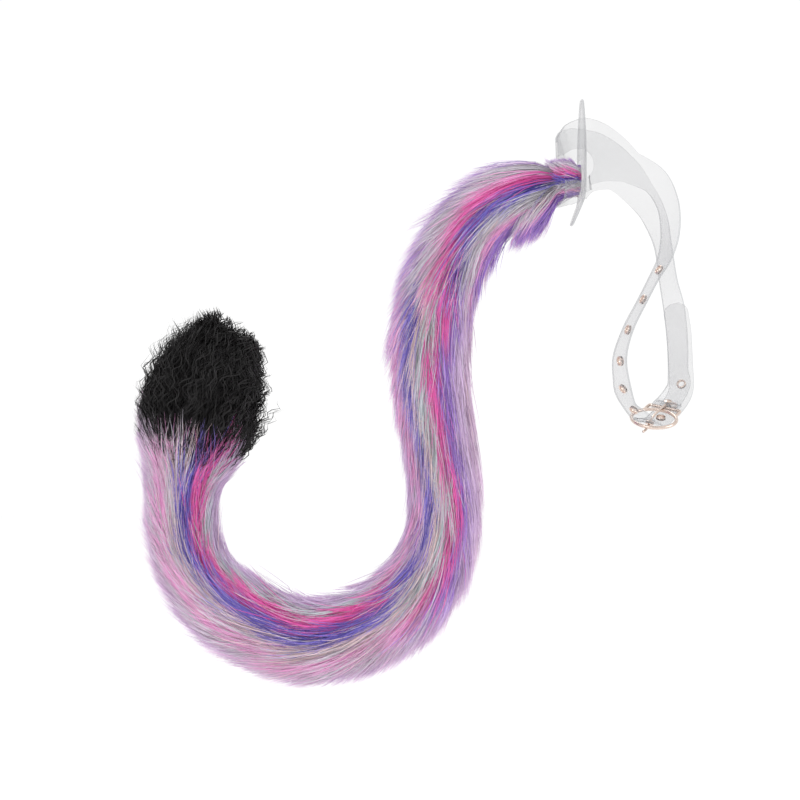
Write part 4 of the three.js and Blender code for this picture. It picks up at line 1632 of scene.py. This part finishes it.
    def metal_cutters(self) -> list[bmesh.types.BMesh]:
        """Form the openings for the metal.

        Returns:
            The openings of the eyelets, the rivet and the prong.
        """
        cutters = []
        reach = self.thick * 1.5
        barrel = self.eyelet_barrel + GAP
        for place in self.eyelet_places():
            cutters.append(turned_form(
                [(0.0, -reach), (barrel, -reach), (barrel, reach), (0.0, reach)], place, 28,
            ))
        low = self.fold_radius - self.layer_step - self.thick
        high = self.fold_radius + self.thick
        shank = self.rivet_shank + GAP
        cutters.append(turned_form(
            [(0.0, low), (shank, low), (shank, high), (0.0, high)], self.rivet_place(), 24,
        ))
        cutters.append(rod_form(self.prong_points(), self.prong_wire + GAP, 12, 4))
        return cutters

    def build_strap(self) -> None:
        """Build and dress the clear strap with its openings."""
        parts = sections(self.rows, self.fine_step)
        piece = piece_from("clear_belt", strip_form(parts, self.thick))
        cut(piece, [*self.root_cutters(), *self.metal_cutters()])
        sharpen(piece)
        dress(piece, Finish.CLEAR, "belt")
        mark_painted_edge_shade(piece, parts)

    def build_eyelets(self) -> None:
        """Build and dress the eyelets."""
        face = self.thick / 2 + self.eyelet_seat
        top = face + self.eyelet_lip_share * self.eyelet_lip
        crown = top + self.eyelet_dome
        bore, rim, barrel = self.eyelet_bore, self.eyelet_radius, self.eyelet_barrel
        inner, outer = bore + self.eyelet_round, rim - self.eyelet_round
        middle = (bore + rim) / 2
        profile = [
            (inner, -top), (middle, -crown), (outer, -top), (rim, -face), (barrel, -face),
            (barrel, face), (rim, face), (outer, top), (middle, crown), (inner, top),
            (bore, face), (bore, -face),
        ]
        for i, place in enumerate(self.eyelet_places()):
            piece = piece_from(f"rose_eyelet_{i + 1}", turned_form(profile, place))
            sharpen(piece, 50.0)
            dress(piece, Finish.ROSE_GOLD, f"eyelet_{i + 1}")

    def build_ring(self) -> None:
        """Build and dress the ring and its bar."""
        ahead, axis, _ = self.buckle_axes
        wire = self.ring_wire
        angles = [2 * math.pi * k / 14 for k in range(14)]
        section = [
            (self.ring_radius + wire * math.cos(a), wire * math.sin(a)) for a in angles
        ]
        ring = turned_form(section, standing(self.buckle_at, axis, ahead), 72)
        dress(piece_from("rose_ring", ring), Finish.ROSE_GOLD, "buckle_ring")
        half = self.strap_width / 2 + GAP + 2 * self.bar_wire
        leg_root = math.sqrt(self.ring_radius**2 - half**2)
        bend, corner = 2 * self.bar_wire, 0.4 * self.bar_wire
        legs = []
        for side in (-1, 1):
            legs.append([
                self.in_buckle(leg_root, 0, side * half),
                self.in_buckle(self.bar_at - bend, 0, side * half),
                self.in_buckle(self.bar_at - corner, 0, side * (half - corner)),
                self.in_buckle(self.bar_at, 0, side * (half - bend)),
            ])
        route = [*legs[0], self.in_buckle(self.bar_at, 0, 0), *reversed(legs[1])]
        bar = piece_from("rose_bar", rod_form(route, self.bar_wire))
        dress(bar, Finish.ROSE_GOLD, "buckle_ring")

    def build_prong(self) -> None:
        """Build and dress the prong."""
        prong = piece_from("rose_prong", rod_form(self.prong_points(), self.prong_wire, 14))
        dress(prong, Finish.ROSE_GOLD, "buckle_prong")

    def build_rivet(self) -> None:
        """Build and dress the rivet."""
        low = self.fold_radius - self.layer_step - self.thick / 2 - GAP
        high = self.fold_radius + self.thick / 2 + GAP
        head, shank, lip = self.rivet_head, self.rivet_shank, self.rivet_lip
        profile = [
            (0.0, low - lip), (head * 0.6, low - lip * 0.85), (head, low - lip * 0.2),
            (head, low), (shank, low), (shank, high), (head, high), (head, high + lip * 0.2),
            (head * 0.6, high + lip * 0.85), (0.0, high + lip),
        ]
        rivet = piece_from("rose_rivet", turned_form(profile, self.rivet_place()))
        sharpen(rivet, 50.0)
        dress(rivet, Finish.ROSE_GOLD, "fold_rivet")

    def build(self) -> None:
        """Build and dress the whole belt."""
        self.build_strap()
        self.build_eyelets()
        self.build_ring()
        self.build_prong()
        self.build_rivet()


# Camera, light and floor


@dataclass(frozen=True)
class Lamp:
    """A soft square light."""

    name: str
    at: tuple[float, float, float]
    toward: tuple[float, float, float]
    size: float
    watts: float

    def place(self) -> None:
        """Put the light in the scene."""
        data = bpy.data.lights.new(self.name, "AREA")
        data.shape = "SQUARE"
        data.size = self.size
        data.energy = self.watts
        lamp = bpy.data.objects.new(self.name, data)
        lamp.location = self.at
        way = Vector(self.toward) - Vector(self.at)
        lamp.rotation_euler = way.to_track_quat("-Z", "Y").to_euler()
        bpy.context.scene.collection.objects.link(lamp)


@dataclass(frozen=True)
class Studio:
    """The camera, the soft lights, the pale surroundings and the floor."""

    centre: tuple[float, float] = (-0.1418, -0.1837)
    distance: float = 1.25
    view_width: float = 0.62
    sensor: float = 36.0
    floor_drop: float = 0.3
    floor_size: float = 12.0
    sky: tuple[float, float, float, float] = (1.0, 1.0, 1.0, 1.0)
    sky_strength: float = 1.03
    lamps: tuple[Lamp, ...] = (
        Lamp("key_light", (-0.9, -1.4, 0.9), (-0.1, 0, -0.2), 0.9, 8.0),
        Lamp("side_light", (1.3, -0.6, 0.3), (-0.1, 0, -0.2), 0.8, 4.0),
        Lamp("back_light", (-0.3, 1.3, 2.2), (-0.1, 0, -0.2), 1.0, 9.0),
    )

    def build(self) -> None:
        """Place the camera, the lights and the floor."""
        camera_data = bpy.data.cameras.new("camera")
        camera_data.sensor_width = self.sensor
        camera_data.lens = self.sensor * self.distance / self.view_width
        camera = bpy.data.objects.new("camera", camera_data)
        camera.location = (self.centre[0], -self.distance, self.centre[1])
        camera.rotation_euler = (math.pi / 2, 0, 0)
        bpy.context.scene.collection.objects.link(camera)
        bpy.context.scene.camera = camera
        bpy.context.scene.view_settings.view_transform = "Standard"

        world = bpy.data.worlds.new("pale_room")
        bpy.context.scene.world = world
        world.use_nodes = True
        background = world.node_tree.nodes["Background"]
        background.inputs["Color"].default_value = self.sky
        background.inputs["Strength"].default_value = self.sky_strength
        for lamp in self.lamps:
            lamp.place()

        form = bmesh.new()
        low = float(min(corner[2] for corner in CAD_BOX)) - self.floor_drop
        bmesh.ops.create_grid(
            form, x_segments=1, y_segments=1, size=self.floor_size / 2,
            matrix=Matrix.Translation((0, 0, low)),
        )
        floor = piece_from("floor", form)
        floor.data.materials.append(FloorFinish("pale_floor").make())


def main() -> None:
    """Build the tail's parts in order, logging the name of each."""
    logging.basicConfig(level=logging.INFO, format="%(name)s: %(message)s")
    Studio().build()
    for part in (SupportPlate(), WaistBelt(), FurTail(), Tuft()):
        LOG.info("building %s", type(part).__name__)
        part.build()


if __name__ == "__main__":
    main()
